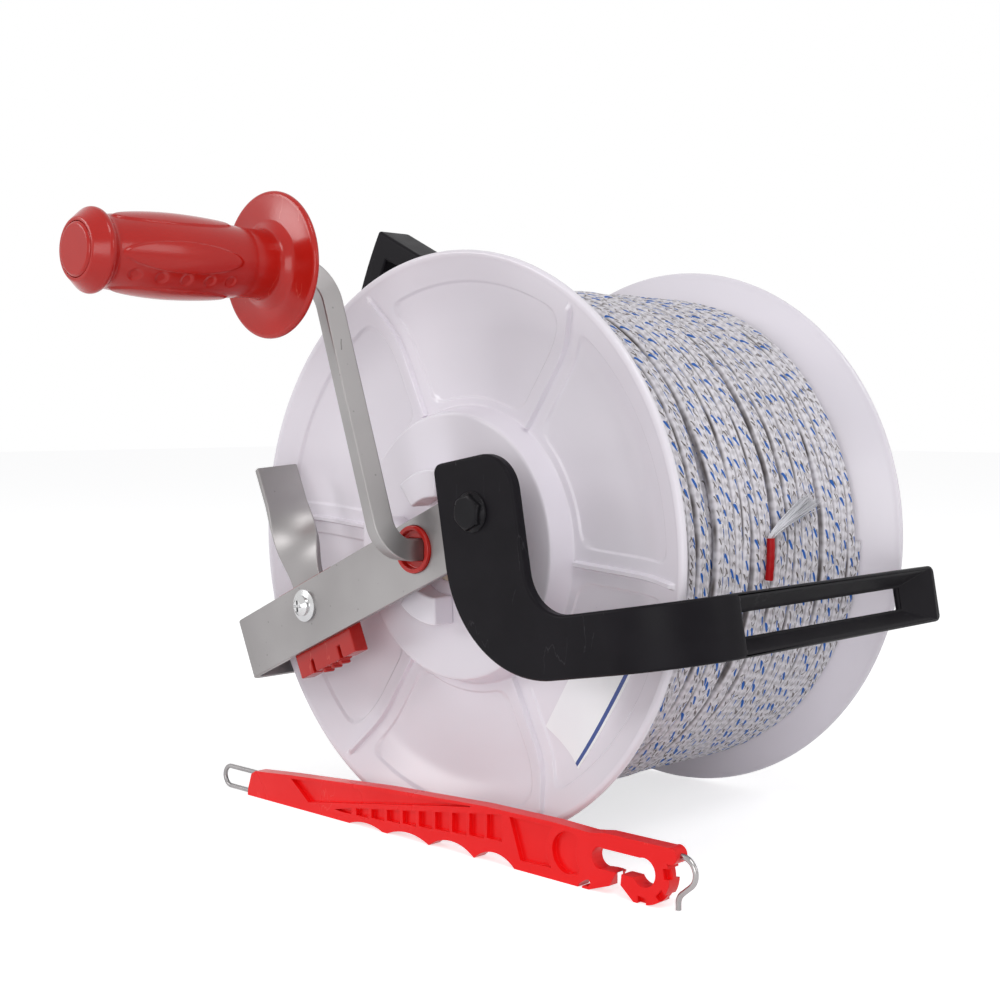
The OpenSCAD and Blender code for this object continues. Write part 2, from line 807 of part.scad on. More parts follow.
module grip_plug() {
    color("#d8281f") at_rest() tilt(crank_dir) translate([crank_throw, 0, 0])
        turned() polygon([[0, grip_end - plug_out], [plug_r - 1, grip_end - plug_out],
            [plug_r - slip, grip_end], [plug_r - slip, grip_end + plug_t], [0, grip_end + plug_t]]);
}

// Spool

// Front face of a flange from the web out to its edge: flat, a bend, a cone and the rolled edge
flare_in = flange_r - rim_w;
flare_out = flange_r - 3.5;
function dish_face() = [[flare_in - 4, web_front], [flare_in, web_front - 0.6],
    [flare_in + 3, web_front - 1.7], [flare_out, 0.6]];

// Outline of a flange, its outer edge at station 0 and the winding behind it
module flange_outline(r_in) {
    back = [for (p = dish_face()) [p[0] + 1, p[1] + web_t]];
    polygon(concat([[r_in, web_front]], dish_face(),
        [[flange_r - 2, 0], [flange_r - 0.6, 0.4], [flange_r, 1.6], [flange_r - 0.4, 2.8]],
        [for (k = [3:-1:0]) back[k]], [[r_in, in_front]]));
}

spigot_r = drum_r - drum_wall - slip;
spigot_in = cup_r + 0.8;
spigot_len = 9;

// Shallow band between two radii in the face of the dish, broken at the ribs
module flange_panels() {
    panel_in = boss_r + 6.5;
    panel_out = flange_r - 13;
    panel_side = 7;
    panel_deep = 0.8;
    out_y = web_front - 1.7 - (panel_out - flare_in - 3) / (flare_out - flare_in - 3) * (web_front - 2.3);
    face = [[panel_in, web_front], dish_face()[0], dish_face()[1], dish_face()[2], [panel_out, out_y]];
    difference() {
        turned() polygon(concat([for (p = face) p - [0, past]],
            [for (k = [4:-1:0]) face[k] + [0, panel_deep]]));
        for (k = [0:rib_n - 1]) tilt(rib_dir + k * 360 / rib_n)
            translate([0, -past, -panel_side]) cube([flange_r, in_front + 2 * past, 2 * panel_side]);
    }
}

// Rib from the hub across the web and up the flare
module flange_rib() {
    top = [[boss_r + 0.4, web_front - rib_h], [flare_in - 2, web_front - rib_h],
        [flare_in + 3, web_front - rib_h - 1.9], [flare_out - 3, 0.6]];
    foot = [for (p = dish_face()) [p[0], p[1] + 0.8]];
    translate([0, 0, -rib_w / 2]) linear_extrude(rib_w)
        polygon(concat(top, [[flare_out - 0.5, 1.6], foot[2], foot[1], foot[0], [boss_r + 0.4, foot[0][1]]]));
}

module front_flange() {
    color("#f4f2f6") at_rest() {
        difference() {
            union() {
                turned() flange_outline(sun_spigot_r);
                turned() polygon([[sun_spigot_r, boss_step], [boss_r - 0.8, boss_step],
                    [boss_r, boss_step + 0.8], [boss_r + boss_draft, in_front - 1],
                    [sun_spigot_r, in_front - 1]]);
                tube(spigot_r, spigot_in, in_front - past, in_front + spigot_len);
            }
            rod(spigot_in, boss_step + boss_t, in_front + past);
            rod(sun_spigot_r, boss_step - past, in_front + past);
            flange_panels();
        }
        for (k = [0:rib_n - 1]) tilt(rib_dir + k * 360 / rib_n) flange_rib();
    }
}

// Lugs that the lock tongue drops between, seated on the hub face
module lock_lugs() {
    lug_in = sun_spigot_r + 6;
    lug_span = 42;
    first = 108 - lug_span / 2;
    color("#f4f2f6") at_rest() for (k = [0:lug_n - 1]) tilt(first + k * 360 / lug_n) rotate([-90, 0, 0])
        translate([0, 0, boss_step - lug_h]) rotate([0, 0, -lug_span]) rotate_extrude(angle = lug_span)
        translate([lug_in, 0]) square([lug_r - lug_in, lug_h]);
}

module rear_flange() {
    color("#f4f2f6") at_rest() difference() {
        union() {
            translate([0, spool_len, 0]) mirror([0, 1, 0]) turned() flange_outline(bearing_r);
            rod(hub_r, in_rear, hub_y);
            tube(spigot_r, spigot_r - drum_wall, in_rear - spigot_len, in_rear + past);
        }
        rod(bearing_r, in_rear - past, hub_y + past);
        flange_screw_places() rod(flange_screw_r + slip, in_rear - past, in_rear + web_t + past);
    }
}

flange_screw_n = 4;
flange_screw_at = 42;
flange_screw_r = 2;
flange_screw_len = 12;
screw_head_r = 4;
screw_head_t = 2.6;
pad_r = 5;

module flange_screw_places() {
    for (k = [0:flange_screw_n - 1]) rotate([0, 45 + k * 360 / flange_screw_n, 0])
        translate([flange_screw_at, 0, 0]) children();
}

// Drum tube, with four screw pads inside its rear end
module drum() {
    pad_y = in_rear - spigot_len - flange_screw_len;
    color("#f4f2f6") at_rest() difference() {
        union() {
            tube(drum_r, drum_r - drum_wall, in_front, in_rear);
            intersection() {
                rod(drum_r - 1, pad_y, in_rear);
                flange_screw_places() {
                    rod(pad_r, pad_y, in_rear);
                    translate([0, pad_y, -pad_r])
                        cube([drum_r, in_rear - spigot_len - free - pad_y, 2 * pad_r]);
                }
            }
        }
        flange_screw_places() rod(flange_screw_r + slip, pad_y - past, in_rear + past);
    }
}

module flange_screws() {
    color("silver") at_rest() flange_screw_places() {
        rod(flange_screw_r, in_rear - flange_screw_len, in_rear + web_t + past);
        rod(screw_head_r, in_rear + web_t, in_rear + web_t + screw_head_t);
    }
}

module sun_gear() {
    color("#f0e6c8") at_rest() tilt(crank_dir) difference() {
        union() {
            rod(sun_spigot_r, boss_step, boss_step + boss_t);
            rod(sun_p - dedendum, boss_step + boss_t, gear_y + gear_w);
            along_y(gear_y, gear_y + gear_w) rotate(180 / sun_z)
                gear_outline(sun_z, -backlash, sun_p - dedendum, sun_p + addendum);
        }
        rod(shaft_r + run, boss_step - past, gear_y + gear_w + past);
    }
}

module rear_bearing() {
    color("#d8281f") at_rest() difference() {
        union() {
            rod(bearing_r, in_rear, hub_y);
            rod(bearing_flange_r, hub_y, hub_y + bearing_flange_t);
        }
        rod(axle_r + run, in_rear - past, hub_y + bearing_flange_t + past);
    }
}

module winding_core() {
    core_r = wind_mid * cos(180 / wind_rings) - line_d / 2 - free;
    color("#dcdce0") at_rest() tube(core_r, drum_r + free, in_front + free, in_rear - free);
}

module winding_layer() {
    color("#e6e8ee") at_rest() polyhedron(wind_points, wind_faces);
}

// Loose end of the line, taped down on the winding
module line_end() {
    tape_d = 4;
    tape_y = wind_y0 + round(0.45 * wind_turns) * wind_pitch;
    tape_from = -6;
    tape_span = 9;
    color("#c41e24") at_rest() translate([0, tape_y, 0]) tilt(tape_from + tape_span) rotate([-90, 0, 0])
        rotate_extrude(angle = tape_span) translate([wind_r + free + tape_d / 2, 0]) circle(d = tape_d);
}

// Lock

module lock_slider() {
    rib_pitch = 6;
    tongue_half = 9;
    color("#d8281f") at_rest() tilt(bar_dir) difference() {
        union() {
            translate([slider_out, slider_y, slider_low])
                cube([slider_len, slider_t, slider_top - slider_low]);
            translate([tongue_root, slider_back - past, -tongue_w / 2])
                cube([tongue_tip - tongue_root, tongue_t + past, tongue_w]);
            for (k = [-1:1]) translate([-lock_u + k * rib_pitch - 1, slider_y + 2, slider_low - 1.6])
                cube([2, slider_t - 2, 2.6]);
        }
        translate([strap_u - strap_w / 2 - slip, slider_back - strap_t, strap_low - slip])
            cube([strap_w + 2 * slip, strap_t + past, slider_top]);
        translate([-lock_u - lock_travel, 0, lock_v]) {
            rod(lock_screw_r + free, slider_y - past, slider_back + past);
            translate([0, slider_y - past, -lock_screw_r - free])
                cube([lock_travel, slider_t + 2 * past, 2 * (lock_screw_r + free)]);
        }
        translate([-lock_u, 0, lock_v]) rod(lock_screw_r + free, slider_y - past, slider_back + past);
        for (s = [-1, 1]) translate([-lock_u + s * (tongue_half + 1) - 1, slider_y - past, slider_low - past])
            cube([2, slider_t + 2 * past, 6 + past]);
        rivet_places() rod(1.5, slider_y, slider_back + past);
    }
}

module rivet_places() {
    for (s = [-1, 1]) translate([strap_u + s * 5, 0, strap_low + 3.7]) children();
}

// Steel thumb strap, let flush into the slider's back, then turned so that the thumb meets its face
module thumb_strap() {
    mid_y = slider_back - strap_t / 2;
    color("silver") at_rest() tilt(bar_dir) difference() {
        translate([strap_u, mid_y, 0]) {
            translate([-strap_w / 2, -strap_t / 2, strap_low])
                cube([strap_w, strap_t, twist_from - strap_low]);
            translate([0, 0, twist_from])
                linear_extrude(twist_to - twist_from, twist = -strap_turn, slices = 12)
                square([strap_w, strap_t], center = true);
            translate([0, 0, twist_to]) rotate([0, 0, strap_turn]) translate([-strap_w / 2, -strap_t / 2, 0])
                cube([strap_w, strap_t, strap_top - twist_to]);
        }
        rivet_places() rod(1.5, slider_back - strap_t - past, slider_back + past);
    }
}

module strap_rivets() {
    color("lightgray") at_rest() tilt(bar_dir) rivet_places() rod(1.5, slider_y, slider_back);
}

// Gate handle

// Outline points are given for a handle 256 long and 23.8 high, and follow its size
function gp(x, h) = [gate_x0 + gate_kx * x, gate_kh * h];
function gps(points) = [for (p = points) gp(p[0], p[1])];

module gate_circle(x, h, r) {
    translate(gp(x, h)) circle(gate_kh * r);
}

module gate_body() {
    polygon(gps([[0, 0], [240.6, 0], [240.6, 12], [247, 12], [245, 17.6], [252.4, 17.6], [252.4, 23.6],
        [222, 23.4], [214, 22.2], [195, 22.8], [157, 22.4], [98, 19.6], [31, 14.6], [6, 12.4], [3, 10.6],
        [0.3, 3]]));
    gate_circle(252.5, 20.6, 3.3);
    intersection() {
        gate_circle(240.4, 12.1, 12);
        polygon(gps([[226, 0.2], [256, 0.2], [256, 20], [226, 20]]));
    }
}

// Arc cut into the lower edge for a finger: middle, width and depth
module finger_cut(x, w, deep) {
    r = (w * w / 4 + deep * deep) / 2 / deep;
    gate_circle(x, deep - r, r);
}

module gate_outline() {
    difference() {
        gate_body();
        finger_cut(85, 22, 2);
        finger_cut(112, 26, 2.8);
        finger_cut(138.5, 26.5, 4.3);
        finger_cut(163.4, 22.5, 4.4);
        gate_circle(219.4, 13.3, 4.2);
        gate_circle(240.4, 12.1, 5.5);
        polygon(gps([[219.4, 9.3], [240.4, 9.3], [240.4, 17.3], [219.4, 17.3]]));
        polygon(gps([[213.7, -1], [213.7, 0], [224, 3.6], [227.1, 8.9], [227.1, 13], [229.8, 13],
            [229.8, 8.9], [229.4, 5.1], [235.6, 0], [235.6, -1]]));
        polygon(gps([[207.8, -1], [209, 1.4], [211.6, 3.2], [213.7, 3.9], [214.6, 2.8], [213.6, 1.2],
            [210.4, 0.9], [210.2, -1]]));
    }
}

// Hollows of both faces: a slanting panel, a row of cells that grow towards the hook, and two larger pockets
module gate_hollows() {
    cell_n = 9;
    cell_pitch = 10.1;
    cell_w = 8.4;
    for (k = [0:cell_n - 1]) let (x = 78.7 + k * cell_pitch, low = 4.4 + 0.66 * k, high = 7.4 + 1.5 * k)
        polygon(gps([[x, low], [x + cell_w, low], [x + cell_w, high + 1.4], [x, high]]));
    polygon(gps([[64, 4.4], [70, 4], [75.6, 4.4], [75.6, 7]]));
    polygon(gps([[33, 13.2], [45.5, 4.4], [150, 20.7], [150, 21]]));
    difference() {
        polygon(gps([[172, 20.6], [197, 20.9], [197, 4.5], [178, 4.1]]));
        gate_circle(203.5, 12.2, 11.8);
    }
    difference() {
        gate_circle(203.5, 12.2, 8.4);
        gate_circle(219.4, 13.3, 12.2);
    }
    for (a = [266, 318, 8])
        translate(gp(240.4, 12.1)) rotate(a) translate([gate_kh * 9.4, -2]) square([6, 4]);
}

module gate_handle() {
    deep = gate_t / 3;
    color("#e8231d") at_rest() translate([0, 0, floor_z]) difference() {
        along_y(gate_front, gate_back) gate_outline();
        along_y(gate_front - past, gate_front + deep) gate_hollows();
        along_y(gate_back - deep, gate_back + past) gate_hollows();
        translate([gp(227.2, 0)[0], gate_front + 1, -past]) rotate([0, 0, 39])
            cube([2, 12, gate_kh * 9.3 + past]);
        for (s = [-1, 1]) translate([gate_x0 - past, gate_mid, eye_h + s * eye_r])
            rotate([0, 90, 0]) cylinder(r = wire_r, h = eye_in + past);
        translate([gate_x1 - eye_in, gate_mid, curl_h]) rotate([0, 90, 0])
            cylinder(r = wire_r, h = eye_in + past);
    }
}

module wire_line(from, to) {
    d = to - from;
    translate([from[0], gate_mid, from[1]]) rotate([0, 90 - atan2(d[1], d[0]), 0])
        cylinder(r = wire_r, h = norm(d));
}

// Straight wire that runs a little way into the arcs at its ends
module wire_link(from, to) {
    d = to - from;
    into = 0.3;
    translate([from[0], gate_mid, from[1]]) rotate([0, 90 - atan2(d[1], d[0]), 0])
        translate([0, 0, -into]) cylinder(r = wire_r - 0.03, h = norm(d) + 2 * into);
}

// Arc of wire about a centre, from angle a0 through a sweep, in the X-Z plane
module wire_arc(c, r, a0, sweep) {
    translate([c[0], gate_mid, c[1]]) tilt(a0 + sweep) rotate([-90, 0, 0])
        rotate_extrude(angle = sweep) translate([r, 0]) circle(wire_r);
}

module gate_eye() {
    color("lightgray") at_rest() translate([0, 0, floor_z]) {
        for (s = [-1, 1]) wire_line([eye_x, eye_h + s * eye_r], [gate_x0 + eye_in, eye_h + s * eye_r]);
        wire_arc([eye_x, eye_h], eye_r, 90, 180);
    }
}

module gate_hook() {
    turn = 140;
    back = 5;
    curl = [gate_x1, curl_h - curl_r];
    p1 = curl + curl_r * [cos(90 - turn), sin(90 - turn)];
    dir = [sin(90 - turn), -cos(90 - turn)];
    p2 = p1 + back * dir;
    c2 = p2 + 5 * [-dir[1], dir[0]];
    p3 = c2 - [5, 0];
    color("lightgray") at_rest() translate([0, 0, floor_z]) {
        wire_line([gate_x1 - eye_in, curl_h], [gate_x1, curl_h]);
        wire_arc(curl, curl_r, 90 - turn, turn);
        wire_link(p1, p2);
        wire_arc(c2, 5, 180 - (turn - 90), turn - 90);
        wire_link(p3, [p3[0], 0.8]);
    }
}

frame_strap();
carry_handle();
handle_bolt();
handle_nut();
side_hook();
hook_bolt();
hook_nut();
lock_screw();
lock_nut();
axle();
axle_spacer();
axle_nut();
ring_gear();
ring_screws();
crank_arm();
drive_bush();
planet_carrier();
planet_pins();
carrier_nut();
grip_retainer();
grip();
grip_plug();
planet_gear_1();
planet_gear_2();
planet_gear_3();
front_flange();
lock_lugs();
rear_flange();
drum();
sun_gear();
rear_bearing();
flange_screws();
winding_core();
winding_layer();
line_end();
lock_slider();
thumb_strap();
strap_rivets();
gate_handle();
gate_eye();
gate_hook();
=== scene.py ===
# %% [markdown]
# # An electric fence reel, dressed for a studio picture
# The measured model arrives as a fixed frame: each piece already stands where it belongs, in metres. This
# lesson leaves that frame alone. It adds soft edges, moulded relief, the wound line and the finishes, and
# hangs each new piece on the body that carries it, so that the reel still turns, locks and comes apart.

import json
import math
from functools import partial

import bmesh
import bpy
import numpy as np
from mathutils import Matrix, Vector

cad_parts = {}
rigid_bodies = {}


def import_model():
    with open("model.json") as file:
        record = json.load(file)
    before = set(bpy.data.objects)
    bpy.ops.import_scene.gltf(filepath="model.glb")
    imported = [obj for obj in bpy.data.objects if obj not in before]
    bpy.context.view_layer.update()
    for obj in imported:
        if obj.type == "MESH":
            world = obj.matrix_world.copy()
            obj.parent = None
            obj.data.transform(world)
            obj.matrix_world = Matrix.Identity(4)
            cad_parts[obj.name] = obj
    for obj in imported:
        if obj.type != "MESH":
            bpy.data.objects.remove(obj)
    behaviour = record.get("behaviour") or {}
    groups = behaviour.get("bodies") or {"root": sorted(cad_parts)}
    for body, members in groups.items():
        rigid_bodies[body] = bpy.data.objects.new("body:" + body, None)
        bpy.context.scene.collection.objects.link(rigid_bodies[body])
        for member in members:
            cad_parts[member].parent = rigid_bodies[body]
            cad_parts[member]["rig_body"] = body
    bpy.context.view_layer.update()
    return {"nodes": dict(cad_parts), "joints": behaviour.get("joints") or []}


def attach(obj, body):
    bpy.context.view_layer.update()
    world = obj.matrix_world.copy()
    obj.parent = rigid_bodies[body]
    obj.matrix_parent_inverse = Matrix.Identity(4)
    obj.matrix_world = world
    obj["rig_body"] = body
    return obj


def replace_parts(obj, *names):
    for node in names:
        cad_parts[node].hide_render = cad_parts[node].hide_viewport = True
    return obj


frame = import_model()
spool_joint = next(j for j in frame["joints"] if j["name"] == "spool_spin")
axle = Vector(spool_joint["pos_m"])
MM = 0.001
JOINT_STATION = 80


def place(x, y, z):
    """Millimetres from the middle of the front rim, as metres in the shared frame."""
    return Vector((axle.x + x * MM, axle.y + (y - JOINT_STATION) * MM, axle.z + z * MM))


def in_scene(name, data):
    """A new object of the scene around a mesh, a lamp or a camera."""
    shown = bpy.data.objects.new(name, data)
    bpy.context.scene.collection.objects.link(shown)
    return shown


for carried in list(bpy.data.materials):
    carried.name = "cad_" + carried.name
print("nodes", len(frame["nodes"]), "axle", [round(v, 4) for v in axle])

# %% [markdown]
# ## Camera
# A photograph fixes the camera: where it stands, how it is turned and how long its lens is. A camera could
# be aimed with a Track To constraint. Writing its matrix from three directions is plainer, and nothing
# moves later.

# %% Camera
SWING, DIP = math.radians(43.959572), math.radians(3.242056)
SENSOR_WIDTH, LENS_PER_SENSOR = 36, 1.5691588
eye = place(476.469, -462.560, 57.300)
back = Vector((math.sin(SWING) * math.cos(DIP), -math.cos(SWING) * math.cos(DIP), math.sin(DIP)))
right = Vector((0, 0, 1)).cross(back).normalized()
above = back.cross(right)
camera = in_scene("camera", bpy.data.cameras.new("camera"))
camera.data.sensor_width = SENSOR_WIDTH
camera.data.lens = SENSOR_WIDTH * LENS_PER_SENSOR
turn = Matrix((right, above, back)).transposed().to_4x4()
camera.matrix_world = Matrix.Translation(eye) @ turn
bpy.context.scene.camera = camera
print("lens", round(camera.data.lens, 2), "eye", [round(v, 3) for v in eye])

# %% [markdown]
# ## Node helpers
# Shader trees and geometry trees are built in the same way: make a node, set its fields, fill or link its
# sockets. Trees could be drawn by hand in the node editor, but a script repeats them exactly. A few small
# helpers keep each finish readable.


# %% Helpers for node trees
def blank(owner):
    """The emptied node tree of a new material or world."""
    owner.use_nodes = True
    owner.node_tree.nodes.clear()
    return owner.node_tree


def add(tree, kind, links=None, **fields):
    """A new node: fields are set, and links fill its inputs with sockets or plain values."""
    node = tree.nodes.new(kind)
    for key, value in fields.items():
        setattr(node, key, value)
    for key, value in (links or {}).items():
        if isinstance(value, bpy.types.NodeSocket):
            tree.links.new(value, node.inputs[key])
        else:
            node.inputs[key].default_value = value
    return node


def calc(tree, operation, *values):
    """One Math node, and its result."""
    return add(tree, "ShaderNodeMath", dict(enumerate(values)), operation=operation).outputs[0]


def mixed(tree, mask, first, second):
    """A colour that goes from first to second as the mask goes from 0 to 1."""
    node = add(tree, "ShaderNodeMix", {0: mask, 6: first, 7: second}, data_type="RGBA")
    return node.outputs[2]


def spread(tree, value, low, high, to_low=0.0, to_high=1.0):
    """A smooth step of a value between low and high."""
    links = {"Value": value, "From Min": low, "From Max": high, "To Min": to_low, "To Max": to_high}
    return add(tree, "ShaderNodeMapRange", links, interpolation_type="SMOOTHSTEP").outputs[0]


def rgb(red, green, blue):
    """A colour given as it looks on a screen, 0 to 255, as the linear colour that a shader takes."""
    shown = [channel / 255 for channel in (red, green, blue)]
    linear = [c / 12.92 if c <= 0.04045 else ((c + 0.055) / 1.055) ** 2.4 for c in shown]
    return (*linear, 1.0)


print("pale grey is", [round(c, 3) for c in rgb(238, 236, 241)])

# %% [markdown]
# ## Stage and light
# The reel was photographed on white, in soft light from above and in front. The world could be turned up
# until everything is white, but then pale plastic would lose its shape. So the lamps stay low, and only
# rays that come straight from the camera, from gloss or through glass see the floor and the world as
# white.

# %% World
WHITE = (1, 1, 1, 1)
WORLD_LIGHT, WORLD_SEEN = 0.4, 1.0


def white_to_the_eye(tree):
    """1 for camera, gloss and glass rays, 0 for the rays that light the object."""
    rays = add(tree, "ShaderNodeLightPath").outputs
    some = calc(tree, "MAXIMUM", rays["Is Camera Ray"], rays["Is Glossy Ray"])
    return calc(tree, "MAXIMUM", some, rays["Is Transmission Ray"])


world = bpy.data.worlds.new("studio")
bpy.context.scene.world = world
tree = blank(world)
lit = add(tree, "ShaderNodeBackground", {"Color": WHITE, "Strength": WORLD_LIGHT}).outputs[0]
seen = add(tree, "ShaderNodeBackground", {"Color": WHITE, "Strength": WORLD_SEEN}).outputs[0]
both = add(tree, "ShaderNodeMixShader", {0: white_to_the_eye(tree), 1: lit, 2: seen}).outputs[0]
add(tree, "ShaderNodeOutputWorld", {"Surface": both})
bpy.context.scene.view_settings.view_transform = "Standard"
print("world nodes", len(tree.nodes))

# %% Floor
FLOOR_REACH, FLOOR_GLOW = 6, 0.62
FLOOR_PAPER = (0.86, 0.86, 0.87, 1)
corners = [(x * FLOOR_REACH, y * FLOOR_REACH, 0) for x, y in ((-1, -1), (1, -1), (1, 1), (-1, 1))]
floor_mesh = bpy.data.meshes.new("floor")
floor_mesh.from_pydata(corners, [], [(0, 1, 2, 3)])
floor = in_scene("floor", floor_mesh)

floor_paper = bpy.data.materials.new("floor_paper")
tree = blank(floor_paper)
paper = add(tree, "ShaderNodeBsdfDiffuse", {"Color": FLOOR_PAPER}).outputs[0]
glow = add(tree, "ShaderNodeEmission", {"Color": WHITE, "Strength": FLOOR_GLOW}).outputs[0]
lifted = add(tree, "ShaderNodeAddShader", {0: paper, 1: glow}).outputs[0]
chosen = add(tree, "ShaderNodeMixShader", {0: white_to_the_eye(tree), 1: paper, 2: lifted}).outputs[0]
add(tree, "ShaderNodeOutputMaterial", {"Surface": chosen})
floor_mesh.materials.append(floor_paper)
print("floor half width", FLOOR_REACH, "m")

# %% Lamps
reel_middle = place(0, 60, 0)


def softbox(name, at, size, watts):
    """A square area lamp that faces the middle of the reel."""
    lamp = bpy.data.lights.new(name, "AREA")
    lamp.size = size
    lamp.energy = watts
    holder = in_scene(name, lamp)
    holder.location = at
    holder.rotation_euler = (Vector(at) - reel_middle).to_track_quat("Z", "Y").to_euler()


softbox("key_above", (0.9, -0.5, 1.5), 0.6, 7.5)
softbox("front_left", (-1.1, -1.3, 0.8), 0.6, 7)
softbox("right_strip", (1.5, 0.5, 0.6), 0.5, 2.5)
softbox("low_fill", (0.8, -1.3, 0.2), 0.8, 7)
print("lamps", len(bpy.data.lights))

# %% [markdown]
# ## Shared effects
# Grain, blotches, scratches and specks turn up on nearly every surface of a used tool. They could be
# painted as image textures. Here each is one shader group with named inputs, placed in a material with its
# own values. They read Object coordinates, in metres, so a fineness of 1500 makes grains a little finer
# than a millimetre, and the pattern stays put on the piece.


# %% Grain and blotches
def effect(name, inputs, outputs):
    """An empty shader group with float sockets; gives the tree, its inputs and its output node."""
    group = bpy.data.node_groups.new(name, "ShaderNodeTree")
    for label, value in inputs.items():
        socket = group.interface.new_socket(label, in_out="INPUT", socket_type="NodeSocketFloat")
        socket.default_value = value
    for label in outputs:
        group.interface.new_socket(label, in_out="OUTPUT", socket_type="NodeSocketFloat")
    return group, add(group, "NodeGroupInput").outputs, add(group, "NodeGroupOutput")


BLOTCH_PER_GRAIN = 0.02
grain, given, result = effect("moulded_grain", {"Fineness": 1500.0}, ["Height", "Tone"])
where = add(grain, "ShaderNodeTexCoord").outputs["Object"]
fine = add(grain, "ShaderNodeTexNoise", {"Vector": where, "Scale": given["Fineness"], "Detail": 2.0})
broad_scale = calc(grain, "MULTIPLY", given["Fineness"], BLOTCH_PER_GRAIN)
broad = add(grain, "ShaderNodeTexNoise", {"Vector": where, "Scale": broad_scale, "Detail": 3.0})
grain.links.new(fine.outputs[0], result.inputs["Height"])
grain.links.new(spread(grain, broad.outputs[0], 0.3, 0.7), result.inputs["Tone"])
print("grain nodes", len(grain.nodes))

# %% Scratches: thin level lines of a stretched noise, kept in some patches
scratch_sizes = {"Size": 30.0, "Width": 0.02, "Cover": 0.5}
hairlines, given, result = effect("hairline_scratches", scratch_sizes, ["Mask"])
where = add(hairlines, "ShaderNodeTexCoord").outputs["Object"]
stretch = {"Vector": where, "Rotation": (0.4, 0.7, 0.3), "Scale": (1, 1, 0.25)}
drawn = add(hairlines, "ShaderNodeMapping", stretch).outputs[0]
wave = add(hairlines, "ShaderNodeTexNoise", {"Vector": drawn, "Scale": given["Size"], "Detail": 5.0})
off_line = calc(hairlines, "ABSOLUTE", calc(hairlines, "SUBTRACT", wave.outputs[0], 0.5))
line = calc(hairlines, "SUBTRACT", 1.0, spread(hairlines, off_line, 0.0, given["Width"]))
patch = add(hairlines, "ShaderNodeTexNoise", {"Vector": where, "Scale": given["Size"], "Detail": 2.0})
kept = calc(hairlines, "LESS_THAN", patch.outputs[0], given["Cover"])
hairlines.links.new(calc(hairlines, "MULTIPLY", line, kept), result.inputs["Mask"])
print("scratch nodes", len(hairlines.nodes))

# %% Specks
specks, given, result = effect("stray_specks", {"Size": 120.0, "Cover": 0.06}, ["Mask"])
where = add(specks, "ShaderNodeTexCoord").outputs["Object"]
cells = add(specks, "ShaderNodeTexVoronoi", {"Vector": where, "Scale": given["Size"]})
spot = calc(specks, "SUBTRACT", 1.0, spread(specks, cells.outputs["Distance"], 0.0, given["Cover"]))
specks.links.new(spot, result.inputs["Mask"])
print("effects", [g.name for g in bpy.data.node_groups])

# %% [markdown]
# ## Finishes
# The reel is white, red and black moulded plastic, dull zinc on the flat bar and bright plating on the
# small parts. Each finish could be a plain colour, but then it looks like a drawing. So each is one
# material around one Principled shader: a number that is the same all over stays on the shader's own
# socket, and what changes over the surface comes from the groups above.

# %% A finish with grain, patches and scratches
GRAIN_DEPTH = 0.0004
finishes = {}


def finish(name, colour, patch_colour, rough, fineness, bump,
           metallic=0.0, shine=0.5, scratch=None, speck=None):
    """A material whose look drifts a little; scratch and speck are (colour, strength, values)."""
    made = bpy.data.materials.new(name)
    tree = blank(made)
    moulded = add(tree, "ShaderNodeGroup", {"Fineness": fineness}, node_tree=grain).outputs
    shade = mixed(tree, moulded["Tone"], colour, patch_colour)
    for group, wanted in ((hairlines, scratch), (specks, speck)):
        if wanted:
            mark_colour, strength, values = wanted
            marks = add(tree, "ShaderNodeGroup", values, node_tree=group).outputs["Mask"]
            shade = mixed(tree, calc(tree, "MULTIPLY", marks, strength), shade, mark_colour)
    relief = {"Height": moulded["Height"], "Strength": bump, "Distance": GRAIN_DEPTH}
    look = {"Base Color": shade, "Metallic": metallic, "Specular IOR Level": shine,
            "Roughness": spread(tree, moulded["Tone"], 0.0, 1.0, *rough),
            "Normal": add(tree, "ShaderNodeBump", relief).outputs[0]}
    surface = add(tree, "ShaderNodeBsdfPrincipled", look).outputs[0]
    add(tree, "ShaderNodeOutputMaterial", {"Surface": surface})
    finishes[name] = made
    return made


print("depth of the grain", GRAIN_DEPTH, "m")

# %% Plastics
dust = rgb(60, 55, 58)
finish("white_plastic", rgb(233, 228, 236), rgb(231, 226, 234), (0.22, 0.25), 900, 0.012, shine=0.4,
       speck=(dust, 0.45, {"Size": 45.0, "Cover": 0.012}))
finish("red_plastic", rgb(182, 28, 20), rgb(176, 25, 18), (0.16, 0.22), 1400, 0.03, shine=0.35,
       scratch=(rgb(228, 110, 95), 0.3, {"Size": 40.0, "Width": 0.005, "Cover": 0.4}))
finish("bright_red_plastic", rgb(244, 20, 22), rgb(238, 17, 19), (0.26, 0.34), 1200, 0.04, shine=0.25,
       scratch=(rgb(250, 100, 90), 0.3, {"Size": 50.0, "Width": 0.005, "Cover": 0.4}))
finish("black_plastic", rgb(21, 19, 23), rgb(26, 24, 28), (0.36, 0.46), 2200, 0.1, shine=0.08,
       scratch=(rgb(74, 73, 77), 0.3, {"Size": 60.0, "Width": 0.005, "Cover": 0.42}))
finish("gear_nylon", rgb(236, 228, 205), rgb(228, 219, 194), (0.35, 0.45), 1500, 0.05)
print("plastics", list(finishes))

